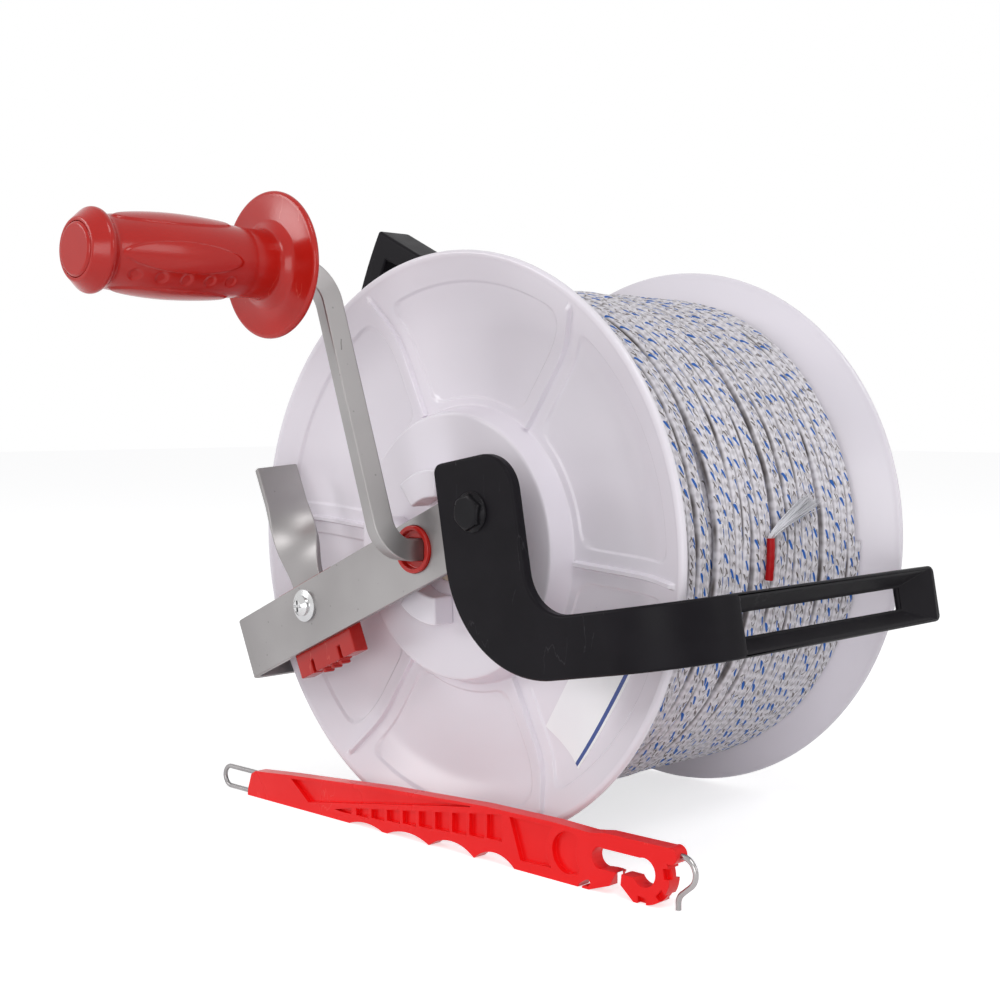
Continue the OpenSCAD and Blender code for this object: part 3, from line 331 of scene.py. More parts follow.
# %% Metals
soot = rgb(62, 60, 60)
finish("galvanised_steel", rgb(158, 155, 155), rgb(142, 139, 139), (0.34, 0.5), 700, 0.06, 0.85,
       scratch=(soot, 0.6, {"Size": 24.0, "Width": 0.008, "Cover": 0.38}),
       speck=(soot, 0.5, {"Size": 160.0, "Cover": 0.1}))
finish("plated_fastener", rgb(206, 206, 206), rgb(186, 186, 188), (0.2, 0.32), 1500, 0.04, 1.0)
finish("black_fastener", rgb(22, 21, 24), rgb(29, 28, 31), (0.3, 0.42), 1500, 0.06, 0.2, shine=0.12)
finish("bright_wire", rgb(166, 163, 163), rgb(146, 143, 144), (0.22, 0.34), 2000, 0.03, 1.0)
print("with metals", len(finishes))

# %% [markdown]
# ## Dressing the nodes that stay
# Screws, nuts, gears and the axle already have the right shape, so modelling them again would gain
# nothing. They keep their node and only get the finish of their slot in the record. The line and its tape
# get theirs later, with the pieces that stand for them.

# %% Finish of every node
nodes_by_slot = {
    "white_plastic": ["drum", "front_flange", "rear_flange", "lock_lugs"],
    "red_plastic": ["drive_bush", "grip", "grip_plug", "lock_slider", "rear_bearing"],
    "bright_red_plastic": ["gate_handle"],
    "black_plastic": ["carry_handle", "side_hook"],
    "gear_nylon": ["planet_gear_1", "planet_gear_2", "planet_gear_3", "sun_gear", "ring_gear",
                   "planet_carrier"],
    "galvanised_steel": ["frame_strap", "crank_arm", "thumb_strap"],
    "black_fastener": ["handle_bolt", "hook_bolt"],
    "bright_wire": ["gate_eye", "gate_hook"],
    "braided_line": ["winding_core", "winding_layer"],
    "red_tape": ["line_end"],
}
slot_of = {node: slot for slot, nodes in nodes_by_slot.items() for node in nodes}
for name, node in frame["nodes"].items():
    slot = slot_of.get(name, "plated_fastener")
    for holder in node.material_slots:
        holder.material = finishes.get(slot, finishes["white_plastic"])
print("finishes", len(finishes), "nodes dressed", len(frame["nodes"]))

# %% [markdown]
# ## Softened copies
# A solid has knife edges; a moulding or a rolled bar doesn't, and it is the thin highlight along a rounded
# edge that makes it look real. A bevel in the shader would fake the highlight but leave the outline sharp.
# So the node's mesh, which is loose triangles, is copied and welded, its flat triangles are joined into
# whole faces, and a Bevel modifier rounds what is sharper than an angle. A Weighted Normal modifier keeps
# the large faces flat in the light. The copy then stands for the node.

# %% Copy, weld, bevel
SAME_POINT = 2e-6
FLAT_ANGLE, SHARP_ANGLE = math.radians(0.7), math.radians(30)
FLAT_WEIGHT = 80


def plain(piece):
    """Turns a piece's modifiers into plain mesh."""
    bpy.context.view_layer.update()
    graph = bpy.context.evaluated_depsgraph_get()
    result = piece.evaluated_get(graph)
    mesh = bpy.data.meshes.new_from_object(result, preserve_all_data_layers=True, depsgraph=graph)
    piece.modifiers.clear()
    piece.data = mesh
    return piece


def welded(mesh, weld):
    """Joins loose triangles into whole faces, and then points that are closer than weld, in metres."""
    work = bmesh.new()
    work.from_mesh(mesh)
    bmesh.ops.remove_doubles(work, verts=work.verts, dist=SAME_POINT)
    bmesh.ops.dissolve_limit(work, angle_limit=FLAT_ANGLE, verts=work.verts, edges=work.edges)
    bmesh.ops.remove_doubles(work, verts=work.verts, dist=weld)
    bmesh.ops.connect_verts_concave(work, faces=[f for f in work.faces if len(f.verts) > 4])
    work.to_mesh(mesh)
    work.free()
    return mesh


def softened(node, name, width, steps=2, weld=0.0):
    """A rounded copy that stands for a node and rides on its body; width and weld are in millimetres."""
    source = frame["nodes"][node]
    mesh = welded(source.data.copy(), weld * MM)
    mesh.shade_smooth()
    mesh.materials.clear()
    mesh.materials.append(finishes[slot_of[node]])
    piece = in_scene(name, mesh)
    edge = piece.modifiers.new("edge", "BEVEL")
    edge.width = width * MM
    edge.segments = steps
    edge.use_clamp_overlap = False
    edge.limit_method = "ANGLE"
    edge.angle_limit = SHARP_ANGLE
    piece.modifiers.new("shading", "WEIGHTED_NORMAL").weight = FLAT_WEIGHT
    plain(piece)
    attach(piece, source["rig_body"])
    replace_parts(piece, node)
    print(name, "faces", len(piece.data.polygons))
    return piece


print("edges sharper than", round(math.degrees(SHARP_ANGLE)), "degrees are rounded")

# %% Bars, black mouldings, bolts and the lock's block
softened("frame_strap", "frame_bar", 0.5)
softened("crank_arm", "crank_bar", 0.7, 3, weld=0.3)
softened("carry_handle", "carry_grip", 1.2, 3, weld=0.6)
softened("side_hook", "hook_arm", 1.4, 3, weld=0.3)
softened("handle_bolt", "bolt_front", 0.4)
softened("hook_bolt", "bolt_side", 0.4)
softened("lock_slider", "lock_slide_block", 0.6, weld=0.3)

# %% [markdown]
# ## Drive bush
# The red bush turns in the flat bar and carries the crank. Only a narrow ring of it shows in front of the
# bar, and nothing behind it. A boolean could cut the wide collar behind the bar away, but would leave a
# raw edge. Drawing its outer points in towards the axle keeps the mesh closed and its bevel smooth.

# %% Bush with a narrow collar
BAR_BACK, BUSH_SHOWN = -16.9, 12.3
bush = softened("drive_bush", "bush_ring", 0.5)
for point in bush.data.vertices:
    out = math.hypot(point.co.x - axle.x, point.co.z - axle.z)
    if out > BUSH_SHOWN * MM and point.co.y > place(0, BAR_BACK, 0).y:
        point.co.x = axle.x + (point.co.x - axle.x) * BUSH_SHOWN * MM / out
        point.co.z = axle.z + (point.co.z - axle.z) * BUSH_SHOWN * MM / out
print("bush radius behind the bar", BUSH_SHOWN, "mm")

# %% Lugs, gate handle and the grip's plug
softened("lock_lugs", "lug_blocks", 1.0, 3)
softened("gate_handle", "gate_moulding", 0.12)
softened("grip_plug", "plug", 0.4)

# %% [markdown]
# ## Skins from rings
# Flanges, grip, strap, tape and winding are all shapes whose cross section changes along a line or round
# an axis. A Screw modifier or a swept curve gives the plain ones. A skin through rings of points gives
# them all, because each ring may be moved, turned or dented on its own. Outlines are short lists of
# corners, each with its radius.

# %% Outlines with rounded corners
MOST_OF_A_SIDE = 0.48


def rounded(corners, steps=5):
    """A polyline of (a, b, radius) corners, each turned into a short curve."""
    points = [np.array(c[:2], float) for c in corners]
    made = []
    for i, corner in enumerate(corners):
        if i in (0, len(corners) - 1) or corner[2] == 0:
            made.append(points[i])
            continue
        before, after = points[i - 1] - points[i], points[i + 1] - points[i]
        lengths = [np.linalg.norm(v) for v in (before, after)]
        cut = [min(corner[2], MOST_OF_A_SIDE * length) / length for length in lengths]
        start, end = points[i] + before * cut[0], points[i] + after * cut[1]
        for t in np.linspace(0, 1, steps + 1):
            made.append((1 - t) ** 2 * start + 2 * t * (1 - t) * points[i] + t * t * end)
    return np.array(made)


def smooth_step(low, high, value):
    """0 below low, 1 above high, and an even curve between them."""
    t = np.clip((value - low) / (high - low), 0, 1)
    return t * t * (3 - 2 * t)


print("points of a rounded right angle", len(rounded([(0, 0, 0), (1, 0, 0.2), (1, 1, 0)])))


# %% A skin through rings
def faced_outwards(mesh):
    """Turns the faces of a closed mesh outwards."""
    work = bmesh.new()
    work.from_mesh(mesh)
    bmesh.ops.recalc_face_normals(work, faces=work.faces)
    work.to_mesh(mesh)
    work.free()
    return mesh


def piece_from_rings(name, rings, material, loop, smooth=40):
    """A closed skin through rings of points; loop joins the last ring to the first."""
    rows, cols = rings.shape[:2]
    points = [place(*p) for p in rings.reshape(-1, 3)]
    faces = []
    for i in range(rows if loop else rows - 1):
        low, high = i * cols, (i + 1) % rows * cols
        faces += [(low + j, low + (j + 1) % cols, high + (j + 1) % cols, high + j) for j in range(cols)]
    if not loop:
        faces += [tuple(range(cols)), tuple((rows - 1) * cols + j for j in range(cols))]
    mesh = bpy.data.meshes.new(name)
    mesh.from_pydata(points, [], faces)
    faced_outwards(mesh)
    mesh.materials.append(material)
    mesh.shade_smooth()
    mesh.set_sharp_from_angle(angle=math.radians(smooth))
    print(name, "faces", len(faces))
    return in_scene(name, mesh)


# %% [markdown]
# ## Thumb strap
# A strip of flat steel stands on the lock's block, twisted by nearly a quarter turn so that a thumb can
# push it. A Simple Deform modifier twists a strip evenly from end to end. On the real strap the twist
# eases in and out between two straight ends, so the strip is a skin through rings whose turn follows a
# smooth step.

# %% Twisted thumb strap
BAR_TURN, STRAP_TURN = math.radians(24.2), math.radians(78)
STRAP_U, STRAP_Y = -82, -10.5
STRAP_HALF, STRAP_THIN, STRAP_CORNER, STRAP_BREAK = 10.25, 1.5, 0.6, 0.4
STRAP_FOOT, STRAIGHT_TO, TWIST_FROM, TWIST_TO, STRAP_TOP = 6.2, 12, 15, 55, 71.3
start = (0, -STRAP_THIN, 0)
corners = [(u * STRAP_HALF, n * STRAP_THIN, STRAP_CORNER) for u, n in ((1, -1), (1, 1), (-1, 1), (-1, -1))]
section = rounded([start, *corners, start], 3)[:-1]
heights = np.concatenate([[STRAP_FOOT, STRAP_FOOT + STRAP_BREAK, STRAIGHT_TO],
                          np.linspace(TWIST_FROM, TWIST_TO, 61), [STRAP_TOP - STRAP_BREAK, STRAP_TOP]])
rings = []
for up in heights:
    a = STRAP_TURN * smooth_step(TWIST_FROM, TWIST_TO, up)
    inset = section - STRAP_BREAK * np.sign(section) * (up in (STRAP_FOOT, STRAP_TOP))
    u = STRAP_U + inset[:, 0] * math.cos(a) - inset[:, 1] * math.sin(a)
    y = STRAP_Y + inset[:, 0] * math.sin(a) + inset[:, 1] * math.cos(a)
    x = u * math.cos(BAR_TURN) - up * math.sin(BAR_TURN)
    z = u * math.sin(BAR_TURN) + up * math.cos(BAR_TURN)
    rings.append(np.stack([x, y, z], 1))
strap = piece_from_rings("thumb_plate", np.array(rings), finishes["galvanised_steel"], False)
strap.modifiers.new("shading", "WEIGHTED_NORMAL").weight = FLAT_WEIGHT
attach(plain(strap), frame["nodes"]["thumb_strap"]["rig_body"])
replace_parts(strap, "thumb_strap")

# %% [markdown]
# ## Flanges
# The flanges are injection mouldings: a thin dish with a flared rim, six ribs and shallow panels between
# them. A boolean of boxes and rings would leave every corner sharp. Instead the dish is a fine grid whose
# height is a formula, so that ribs and panels melt into it with the small radii that a mould has. Near a
# rib the grid runs along it, at set distances, which keeps the sides of rib and panel crisp.

# %% Relief of a dished flange
SPOOL_LENGTH, DRUM_R, WEB, BACK = 160, 57, 12.5, 15.5
RIBS, RIB_TURN, RIB_HIGH = 6, -4, 2.2
RIB_SIDE, RIB_END = (0.7, 1.5), (116.5, 120.5)
PANEL_DEEP, PANEL_CORNER, PANEL_OFF_RIB, PANEL_SOFT = 0.9, 7, 7, 0.55
PANEL_INNER, PANEL_OUTER = 63.5, 112
SECTOR = 360 / RIBS
bowl = rounded([(58, WEB, 0), (99, WEB, 9), (121.6, 0.5, 0)], 14)


def dish(r):
    """Station of the dish's plain front face at radius r."""
    return np.interp(r, bowl[:, 0], bowl[:, 1])


def web_relief(r, turn):
    """How far the face lies behind the plain dish at a radius and an angle: panels go in, ribs stand out."""
    step = (turn - RIB_TURN) % SECTOR
    away = r * np.sin(np.radians(np.minimum(step, SECTOR - step)))
    rib = RIB_HIGH * (1 - smooth_step(*RIB_SIDE, away)) * (1 - smooth_step(*RIB_END, r))
    across = PANEL_OFF_RIB + PANEL_CORNER - away
    along = np.maximum(PANEL_INNER + PANEL_CORNER - r, r - PANEL_OUTER + PANEL_CORNER)
    past_corner = np.hypot(np.maximum(across, 0), np.maximum(along, 0))
    outside = past_corner + np.minimum(np.maximum(across, along), 0) - PANEL_CORNER
    return PANEL_DEEP * (1 - smooth_step(-PANEL_SOFT, PANEL_SOFT, outside)) - rib


print("dish depth", WEB, "mm, rib height", RIB_HIGH, "mm")

# %% Grid of a flange: distances beside a rib, and rows of the web as (from, to, step)
BESIDE_RIB = np.array([0.35, 0.7, 0.9, 1.1, 1.3, 1.5, 2, 4, 5.6, 6.2, 6.5, 6.8, 7.1, 7.4, 7.7, 8.2, 9, 10.5])
BETWEEN_RIBS = 44
WEB_ROWS = ((61, 62.6, 0.5), (62.6, 65, 0.24), (65, 110.4, 1.9), (110.4, 113.4, 0.24), (113.4, 121, 0.7))


def ring_turns(r):
    """Angles of the grid's points on the ring of radius r: at set distances from a rib, then evenly."""
    near = np.degrees(BESIDE_RIB / max(r, DRUM_R))
    between = np.linspace(near[-1], SECTOR - near[-1], BETWEEN_RIBS)[1:-1]
    sector = np.concatenate([-near[::-1], [0], near, between])
    return np.concatenate([RIB_TURN + k * SECTOR + sector for k in range(RIBS)])


def flange(name, hub, flip):
    """A flange from its hub, the dish with its relief, the rim and the back; flip turns it to the rear."""
    web = np.concatenate([np.arange(*row) for row in WEB_ROWS])
    rim = rounded([(121, dish(121), 0), (122, 0.15, 0.9), (124, 0, 1.2), (125, 1.5, 1.2), (124.5, 2.9, 1.0),
                   (122.4, 3.7, 1), (100, BACK, 9), (DRUM_R, BACK, 0)], 8)
    rows = [(r, y, False) for r, y in hub]
    rows += [(r, dish(r), True) for r in web]
    rows += [(r, y, False) for r, y in rim]
    rings = []
    for r, y, relief in rows:
        turns = ring_turns(r)
        depth = y + (web_relief(r, turns) if relief else np.zeros(len(turns)))
        flat = np.radians(turns)
        station = SPOOL_LENGTH - depth if flip else depth
        rings.append(np.stack([r * np.cos(flat), station, r * np.sin(flat)], 1))
    return piece_from_rings(name, np.array(rings), finishes["white_plastic"], True)


print("points in a ring", len(ring_turns(DRUM_R)))

# %% Front and rear flange
front_hub = rounded([(46.8, BACK, 0), (46.8, 4.5, 0), (15.2, 4.5, 0), (15.2, 1.5, 0.6), (56.6, 1.5, 1.6),
                     (57.2, 2.6, 1), (59.8, WEB, 1.6), (61, WEB, 0)])
front = flange("flange_front", front_hub, False)
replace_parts(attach(front, "spool"), "front_flange")
rear_hub = rounded([(54, BACK, 0), (11.1, BACK, 0), (11.1, -3, 0.6), (20, -3, 1.0), (20.3, WEB, 2.5),
                    (40, WEB, 0), (60, WEB, 0)])
rear = flange("flange_rear", rear_hub, True)
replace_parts(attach(rear, "spool"), "rear_flange")

# %% [markdown]
# ## Grip
# The grip is a soft red moulding that turns on the crank's spindle: a guard disc, a neck, a swelling body
# with five long raised ovals, rows of small dimples between them, and a bevelled end. A lathe gives the
# body, and a displacement map could give the relief. Here the ovals and dimples are added to the lathe's
# radius, point by point, which keeps them smooth and needs no map.

# %% Outline of the grip: radius against distance from the guard
GRIP_LENGTH = 91.5
NECK_R, WIDEST_R, TAIL_R = 14, 16, 13.8
NECK_END, WIDEST, BODY_END = 18, 51, 80.5
guard = rounded([(5.2, 0, 0), (28.9, 0, 0), (30, 0.8, 1), (30, 2.3, 1), (28.9, 3.0, 1), (18.6, 3.3, 0),
                 (17.4, 3.8, 0.8), (16.4, 4.5, 0.8), (14.2, 6.4, 1.6), (NECK_R, 9, 0)])
body_t = np.arange(9.5, BODY_END, 0.5)
rise = np.clip((body_t - NECK_END) / (WIDEST - NECK_END), 0, 1)
fall = np.clip((body_t - WIDEST) / (BODY_END - WIDEST), 0, 1)
swell = np.where(body_t < WIDEST, NECK_R + (WIDEST_R - NECK_R) * np.sin(np.pi / 2 * rise),
                 WIDEST_R - (WIDEST_R - TAIL_R) * (1 - np.cos(np.pi / 2 * fall)))
tail = rounded([(TAIL_R, BODY_END, 0), (13.9, 81.6, 0.8), (16.1, 84.3, 1.0), (16.2, 86.1, 0.8),
                (11.9, GRIP_LENGTH - 0.2, 0.5), (11.3, GRIP_LENGTH, 0.3), (10.5, GRIP_LENGTH, 0.2),
                (10.5, 85, 0), (5.2, 85, 0)])
profile = np.concatenate([guard, np.stack([swell, body_t], 1), tail])
print("grip profile points", len(profile))

# %% Raised ovals and dimples
OVALS, OVAL_TURN, OVAL_HIGH = 5, -6, 0.7
OVAL_MIDDLE, OVAL_HALF, OVAL_SPAN, OVAL_SIDE = 53, 26.5, math.radians(21.5), (0.95, 1.03)
DIMPLE_ROWS, DIMPLES_AT = (-38, -114, 174), (30.5, 40.5, 51.5, 62.5, 73.5)
DIMPLE_DEEP, DIMPLE_SIDE = 0.55, (1.7, 3.0)


def off_direction(angle, degrees):
    """Angle from a direction, from half a turn on one side to half a turn on the other."""
    return (angle - math.radians(degrees) + math.pi) % (2 * math.pi) - math.pi


def grip_relief(t, angle):
    """Raised ovals and sunk dimples of the grip at distance t from the guard."""
    extra = np.zeros(len(angle))
    for k in range(OVALS):
        off = off_direction(angle, OVAL_TURN + 360 / OVALS * k)
        far = np.hypot((t - OVAL_MIDDLE) / OVAL_HALF, off / OVAL_SPAN)
        extra += OVAL_HIGH * (1 - smooth_step(*OVAL_SIDE, far))
    for row in DIMPLE_ROWS:
        off = off_direction(angle, row)
        for dimple in DIMPLES_AT:
            extra -= DIMPLE_DEEP * (1 - smooth_step(*DIMPLE_SIDE, np.hypot(t - dimple, WIDEST_R * off)))
    return extra


print("ovals", OVALS, "dimples", len(DIMPLE_ROWS) * len(DIMPLES_AT))

# %% Grip
CRANK_TURN, THROW, GRIP_Y = math.radians(108.8), 123.5, -60.71
RELIEF_END, BORE_R = 84, 13
grip_x, grip_z = THROW * math.cos(CRANK_TURN), THROW * math.sin(CRANK_TURN)
around = np.radians(np.arange(0, 360, 1.2))
rings = []
for r, t in profile:
    on_body = NECK_END < t < RELIEF_END and r > BORE_R
    radius = r + (grip_relief(t, around) if on_body else np.zeros(len(around)))
    station = np.full(len(around), GRIP_Y - t)
    rings.append(np.stack([grip_x + radius * np.cos(around), station, grip_z + radius * np.sin(around)], 1))
handle = piece_from_rings("hand_grip_moulding", np.array(rings), finishes["red_plastic"], True, 50)
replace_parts(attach(handle, "hand_grip"), "grip")

# %% [markdown]
# ## Braid
# The line is braided from pale polymer strands with fine steel wires and a blue tracer in it. A picture of
# a braid could be wrapped round it, but would repeat. Here every wire comes to the surface as a short
# slanted dash, and a shader group scatters dashes by chance along the strand. It reads two values that the
# winding stores on its mesh: the distance along the strand, and the place across it from -1 to 1.

# %% Dashes of one thread in the braid
LAP = 2 * math.pi * 0.1092
SCATTER = 1.2
thread = {"Spacing": 0.0105, "Length": 0.34, "Half": 0.23, "Tilt": 1.0, "Seed": 0.0, "Chance": 1.0}
dashes, given, result = effect("braid_dashes", thread, ["Mask"])
dash = partial(calc, dashes)
along = add(dashes, "ShaderNodeAttribute", attribute_name="along").outputs["Fac"]
across = add(dashes, "ShaderNodeAttribute", attribute_name="across").outputs["Fac"]
lap = dash("FLOOR", dash("DIVIDE", along, LAP))
lap_key = add(dashes, "ShaderNodeCombineXYZ", {0: lap, 1: given["Seed"]}).outputs[0]
phase = add(dashes, "ShaderNodeTexWhiteNoise", {"Vector": lap_key}, noise_dimensions="2D").outputs["Value"]
pace = dash("ADD", dash("DIVIDE", along, given["Spacing"]), phase)
key = add(dashes, "ShaderNodeCombineXYZ", {0: dash("FLOOR", pace), 1: given["Seed"], 2: lap}).outputs[0]
dice = add(dashes, "ShaderNodeTexWhiteNoise", {"Vector": key}, noise_dimensions="3D").outputs
part = dash("FRACT", pace)
half_length = dash("MULTIPLY", given["Length"], 0.5)
leaned = dash("MULTIPLY", dash("SUBTRACT", part, half_length), given["Tilt"])
centre = dash("ADD", dash("MULTIPLY", dash("SUBTRACT", dice["Value"], 0.5), SCATTER), leaned)
aside = dash("DIVIDE", dash("ABSOLUTE", dash("SUBTRACT", across, centre)), given["Half"])
endways = dash("ABSOLUTE", dash("SUBTRACT", dash("DIVIDE", part, half_length), 1.0))
outline = dash("ADD", dash("POWER", aside, 2.0), dash("POWER", endways, 4.0))
inside = dash("SUBTRACT", 1.0, spread(dashes, outline, 0.6, 1.0))
second_dice = add(dashes, "ShaderNodeSeparateColor", {0: dice["Color"]}).outputs[0]
there = dash("LESS_THAN", second_dice, given["Chance"])
dashes.links.new(dash("MULTIPLY", inside, there), result.inputs["Mask"])
print("dash nodes", len(dashes.nodes))

# %% Braid finish: pale plait with painted shade in its grooves, painted shade at the edges, three dark wires and a blue tracer
PLAIT_LENGTH, PLAIT_LEAN, PLAIT_DEPTH = 0.0078, 4.0, 0.0003
braided_line = bpy.data.materials.new("braided_line")
tree = blank(braided_line)
braid = partial(calc, tree)
along = add(tree, "ShaderNodeAttribute", attribute_name="along").outputs["Fac"]
across = add(tree, "ShaderNodeAttribute", attribute_name="across").outputs["Fac"]
lean = braid("MULTIPLY", across, PLAIT_LEAN)
step = braid("MULTIPLY", along, 2 * math.pi / PLAIT_LENGTH)
one_way, other_way = braid("SINE", braid("ADD", step, lean)), braid("SINE", braid("SUBTRACT", step, lean))
plait = braid("MULTIPLY", one_way, other_way)
# Painted shade: the plait's grooves, which the bump below sinks, take the darker of the two pale tones.
base = mixed(tree, spread(tree, plait, -0.8, 0.6), rgb(194, 190, 196), rgb(230, 227, 233))
patches = {"W": along, "Scale": 45.0, "Detail": 2.0}
uneven = add(tree, "ShaderNodeTexNoise", patches, noise_dimensions="1D").outputs[0]
# Painted shade: each strand turns dark grey-brown towards its sides, where it meets its neighbours, more in
# some patches along it.
near_edge = spread(tree, braid("ABSOLUTE", across), 0.7, 1.0)
painted_gap_shade = braid("MULTIPLY", near_edge, spread(tree, uneven, 0.38, 0.62, 0.1, 0.95))
base = mixed(tree, painted_gap_shade, base, rgb(92, 84, 82))
threads = (
    (rgb(84, 74, 68), 0.85, dict(Spacing=0.0056, Length=0.5, Half=0.12, Tilt=-0.75, Seed=9.0, Chance=0.85)),
    (rgb(72, 63, 59), 0.85, dict(Spacing=0.0062, Length=0.42, Half=0.11, Tilt=-0.8, Seed=5.0, Chance=0.85)),
    (rgb(98, 89, 84), 0.8, dict(Spacing=0.0047, Length=0.4, Half=0.1, Tilt=0.7, Seed=14.0, Chance=0.7)),
    (rgb(34, 94, 176), 1.0, dict(Spacing=0.0093, Length=0.47, Half=0.21, Tilt=-1.1, Seed=1.0, Chance=1.0)))
for colour, strength, values in threads:
    marks = add(tree, "ShaderNodeGroup", values, node_tree=dashes).outputs[0]
    base = mixed(tree, braid("MULTIPLY", marks, strength), base, colour)
relief = add(tree, "ShaderNodeBump", {"Height": plait, "Strength": 0.3, "Distance": PLAIT_DEPTH}).outputs[0]
look = {"Base Color": base, "Roughness": 0.5, "Specular IOR Level": 0.3, "Normal": relief}
surface = add(tree, "ShaderNodeBsdfPrincipled", look).outputs[0]
add(tree, "ShaderNodeOutputMaterial", {"Surface": surface})
print("braid finish nodes", len(tree.nodes))

# %% [markdown]
# ## The wound line
# The drum holds some hundreds of metres of line. Only the outer turns show, so these are modelled strand
# by strand: a spiral curve that wanders a little, as a hand-guided line does, swept into a strand. A
# second layer lies under it and shows in the gaps, over a plain body of line. A Screw modifier could wind
# the strand too, but evenly, like a spring. So the spiral, the wander and the sweep are one Geometry Nodes
# tree with named inputs.

# %% Spiral of a layer
wound = bpy.data.node_groups.new("wound_layer", "GeometryNodeTree")
layer_inputs = (("Turns", "Float", 36.0), ("Radius", "Float", 0.11), ("Length", "Float", 0.13),
                ("Strand", "Float", 0.002), ("Wander", "Float", 0.004), ("Seed", "Float", 1.0),
                ("Steps", "Int", 90), ("Start", "Vector", (0, 0, 0)), ("Sides", "Int", 8))
for label, kind, value in layer_inputs:
    wound.interface.new_socket(label, in_out="INPUT", socket_type="NodeSocket" + kind).default_value = value
wound.interface.new_socket("Geometry", in_out="OUTPUT", socket_type="NodeSocketGeometry")
given = add(wound, "NodeGroupInput").outputs
coil = {"Resolution": given["Steps"], "Rotations": given["Turns"], "Start Radius": given["Radius"],
        "End Radius": given["Radius"], "Height": given["Length"]}
spiral = add(wound, "GeometryNodeCurveSpiral", coil).outputs[0]
print("winding inputs", [label for label, kind, value in layer_inputs])

# %% Wander of the line: sideways by three kinds of noise that fade at both ends, and in and out
DRIFT_SCALE, SHAKES_PER_METRE, SLOWER, ELSEWHERE = 9.0, 14.0, 0.3, 40.0
SHAKE_STRANDS, LEAN_STRANDS, FADE = 1.5, 2.5, 4.0
wind = partial(calc, wound)


def waver(at, level=0.5, scale=1.0, detail=1.0):
    """Noise along the line, from which its level is taken off."""
    links = {"W": at, "Scale": scale, "Detail": detail}
    noise = add(wound, "ShaderNodeTexNoise", links, noise_dimensions="1D").outputs[0]
    return wind("SUBTRACT", noise, level)


def vector(operation, links):
    """One Vector Math node of the winding, and its result."""
    return add(wound, "ShaderNodeVectorMath", links, operation=operation).outputs[0]


here = add(wound, "GeometryNodeInputPosition").outputs[0]
run = add(wound, "GeometryNodeSplineParameter").outputs
hump = wind("SINE", wind("MULTIPLY", run["Factor"], math.pi))
ends = wind("MINIMUM", wind("MULTIPLY", hump, FADE), 1.0)
drift_links = {"Vector": here, "W": given["Seed"], "Scale": DRIFT_SCALE, "Detail": 1.0}
drift = add(wound, "ShaderNodeTexNoise", drift_links, noise_dimensions="4D").outputs[0]
shift = wind("MULTIPLY", wind("SUBTRACT", drift, 0.5), given["Wander"])
pace = wind("ADD", wind("MULTIPLY", run["Length"], SHAKES_PER_METRE), given["Seed"])
shake = wind("MULTIPLY", waver(pace), wind("MULTIPLY", given["Strand"], SHAKE_STRANDS))
slow = waver(wind("MULTIPLY", pace, SLOWER), detail=0.0)
leaning = wind("MULTIPLY", slow, wind("MULTIPLY", given["Strand"], LEAN_STRANDS))
sideways = wind("MULTIPLY", wind("ADD", shift, wind("ADD", shake, leaning)), ends)
outward = wind("MULTIPLY", waver(wind("ADD", pace, ELSEWHERE), level=0.6, scale=0.8), given["Strand"])
parts = add(wound, "ShaderNodeSeparateXYZ", {0: here}).outputs
flat = add(wound, "ShaderNodeCombineXYZ", {0: parts[0], 1: parts[1]}).outputs[0]
push = vector("SCALE", {0: vector("NORMALIZE", {0: flat}), "Scale": outward})
slide = add(wound, "ShaderNodeCombineXYZ", {2: sideways}).outputs[0]
moved = vector("ADD", {0: push, 1: slide})
path = add(wound, "GeometryNodeSetPosition", {"Geometry": spiral, "Offset": moved}).outputs[0]
print("winding tree nodes so far", len(wound.nodes))


# %% Sweep of the strand
def keep(geometry, name, kind, value):
    """Stores a field on the points under a name."""
    links = {"Geometry": geometry, "Name": name, "Value": value}
    return add(wound, "GeometryNodeStoreNamedAttribute", links, data_type=kind, domain="POINT").outputs[0]


path = keep(path, "along", "FLOAT", add(wound, "GeometryNodeSplineParameter").outputs["Length"])
path = keep(path, "middle", "FLOAT_VECTOR", add(wound, "GeometryNodeInputPosition").outputs[0])
round_section = {"Resolution": given["Sides"], "Radius": given["Strand"]}
ring = add(wound, "GeometryNodeCurvePrimitiveCircle", round_section).outputs[0]
sweep = {"Curve": path, "Profile Curve": ring, "Fill Caps": True}
strand = add(wound, "GeometryNodeCurveToMesh", sweep).outputs[0]
stored = {"Name": "middle"}
spine = add(wound, "GeometryNodeInputNamedAttribute", stored, data_type="FLOAT_VECTOR").outputs[0]
off_spine = vector("SUBTRACT", {0: add(wound, "GeometryNodeInputPosition").outputs[0], 1: spine})
height = add(wound, "ShaderNodeSeparateXYZ", {0: off_spine}).outputs[2]
strand = keep(strand, "across", "FLOAT", wind("DIVIDE", height, given["Strand"]))
on_axle = {"Geometry": strand, "Translation": given["Start"], "Rotation": (-math.pi / 2, 0, 0)}
laid = add(wound, "GeometryNodeTransform", on_axle).outputs[0]
rounded_off = add(wound, "GeometryNodeSetShadeSmooth", {"Geometry": laid, "Shade Smooth": True}).outputs[0]
whole = add(wound, "GeometryNodeRealizeInstances", {"Geometry": rounded_off}).outputs[0]
dressed = add(wound, "GeometryNodeSetMaterial", {"Geometry": whole, "Material": braided_line}).outputs[0]
add(wound, "NodeGroupOutput", {"Geometry": dressed})
print("winding tree nodes", len(wound.nodes))

# %% Lay the two layers
STRAND, WINDING_R = 2.42, 111.4
FIRST, UNDER_FIRST, UNDER_STRANDS = 14.5, 17.2, 2.9


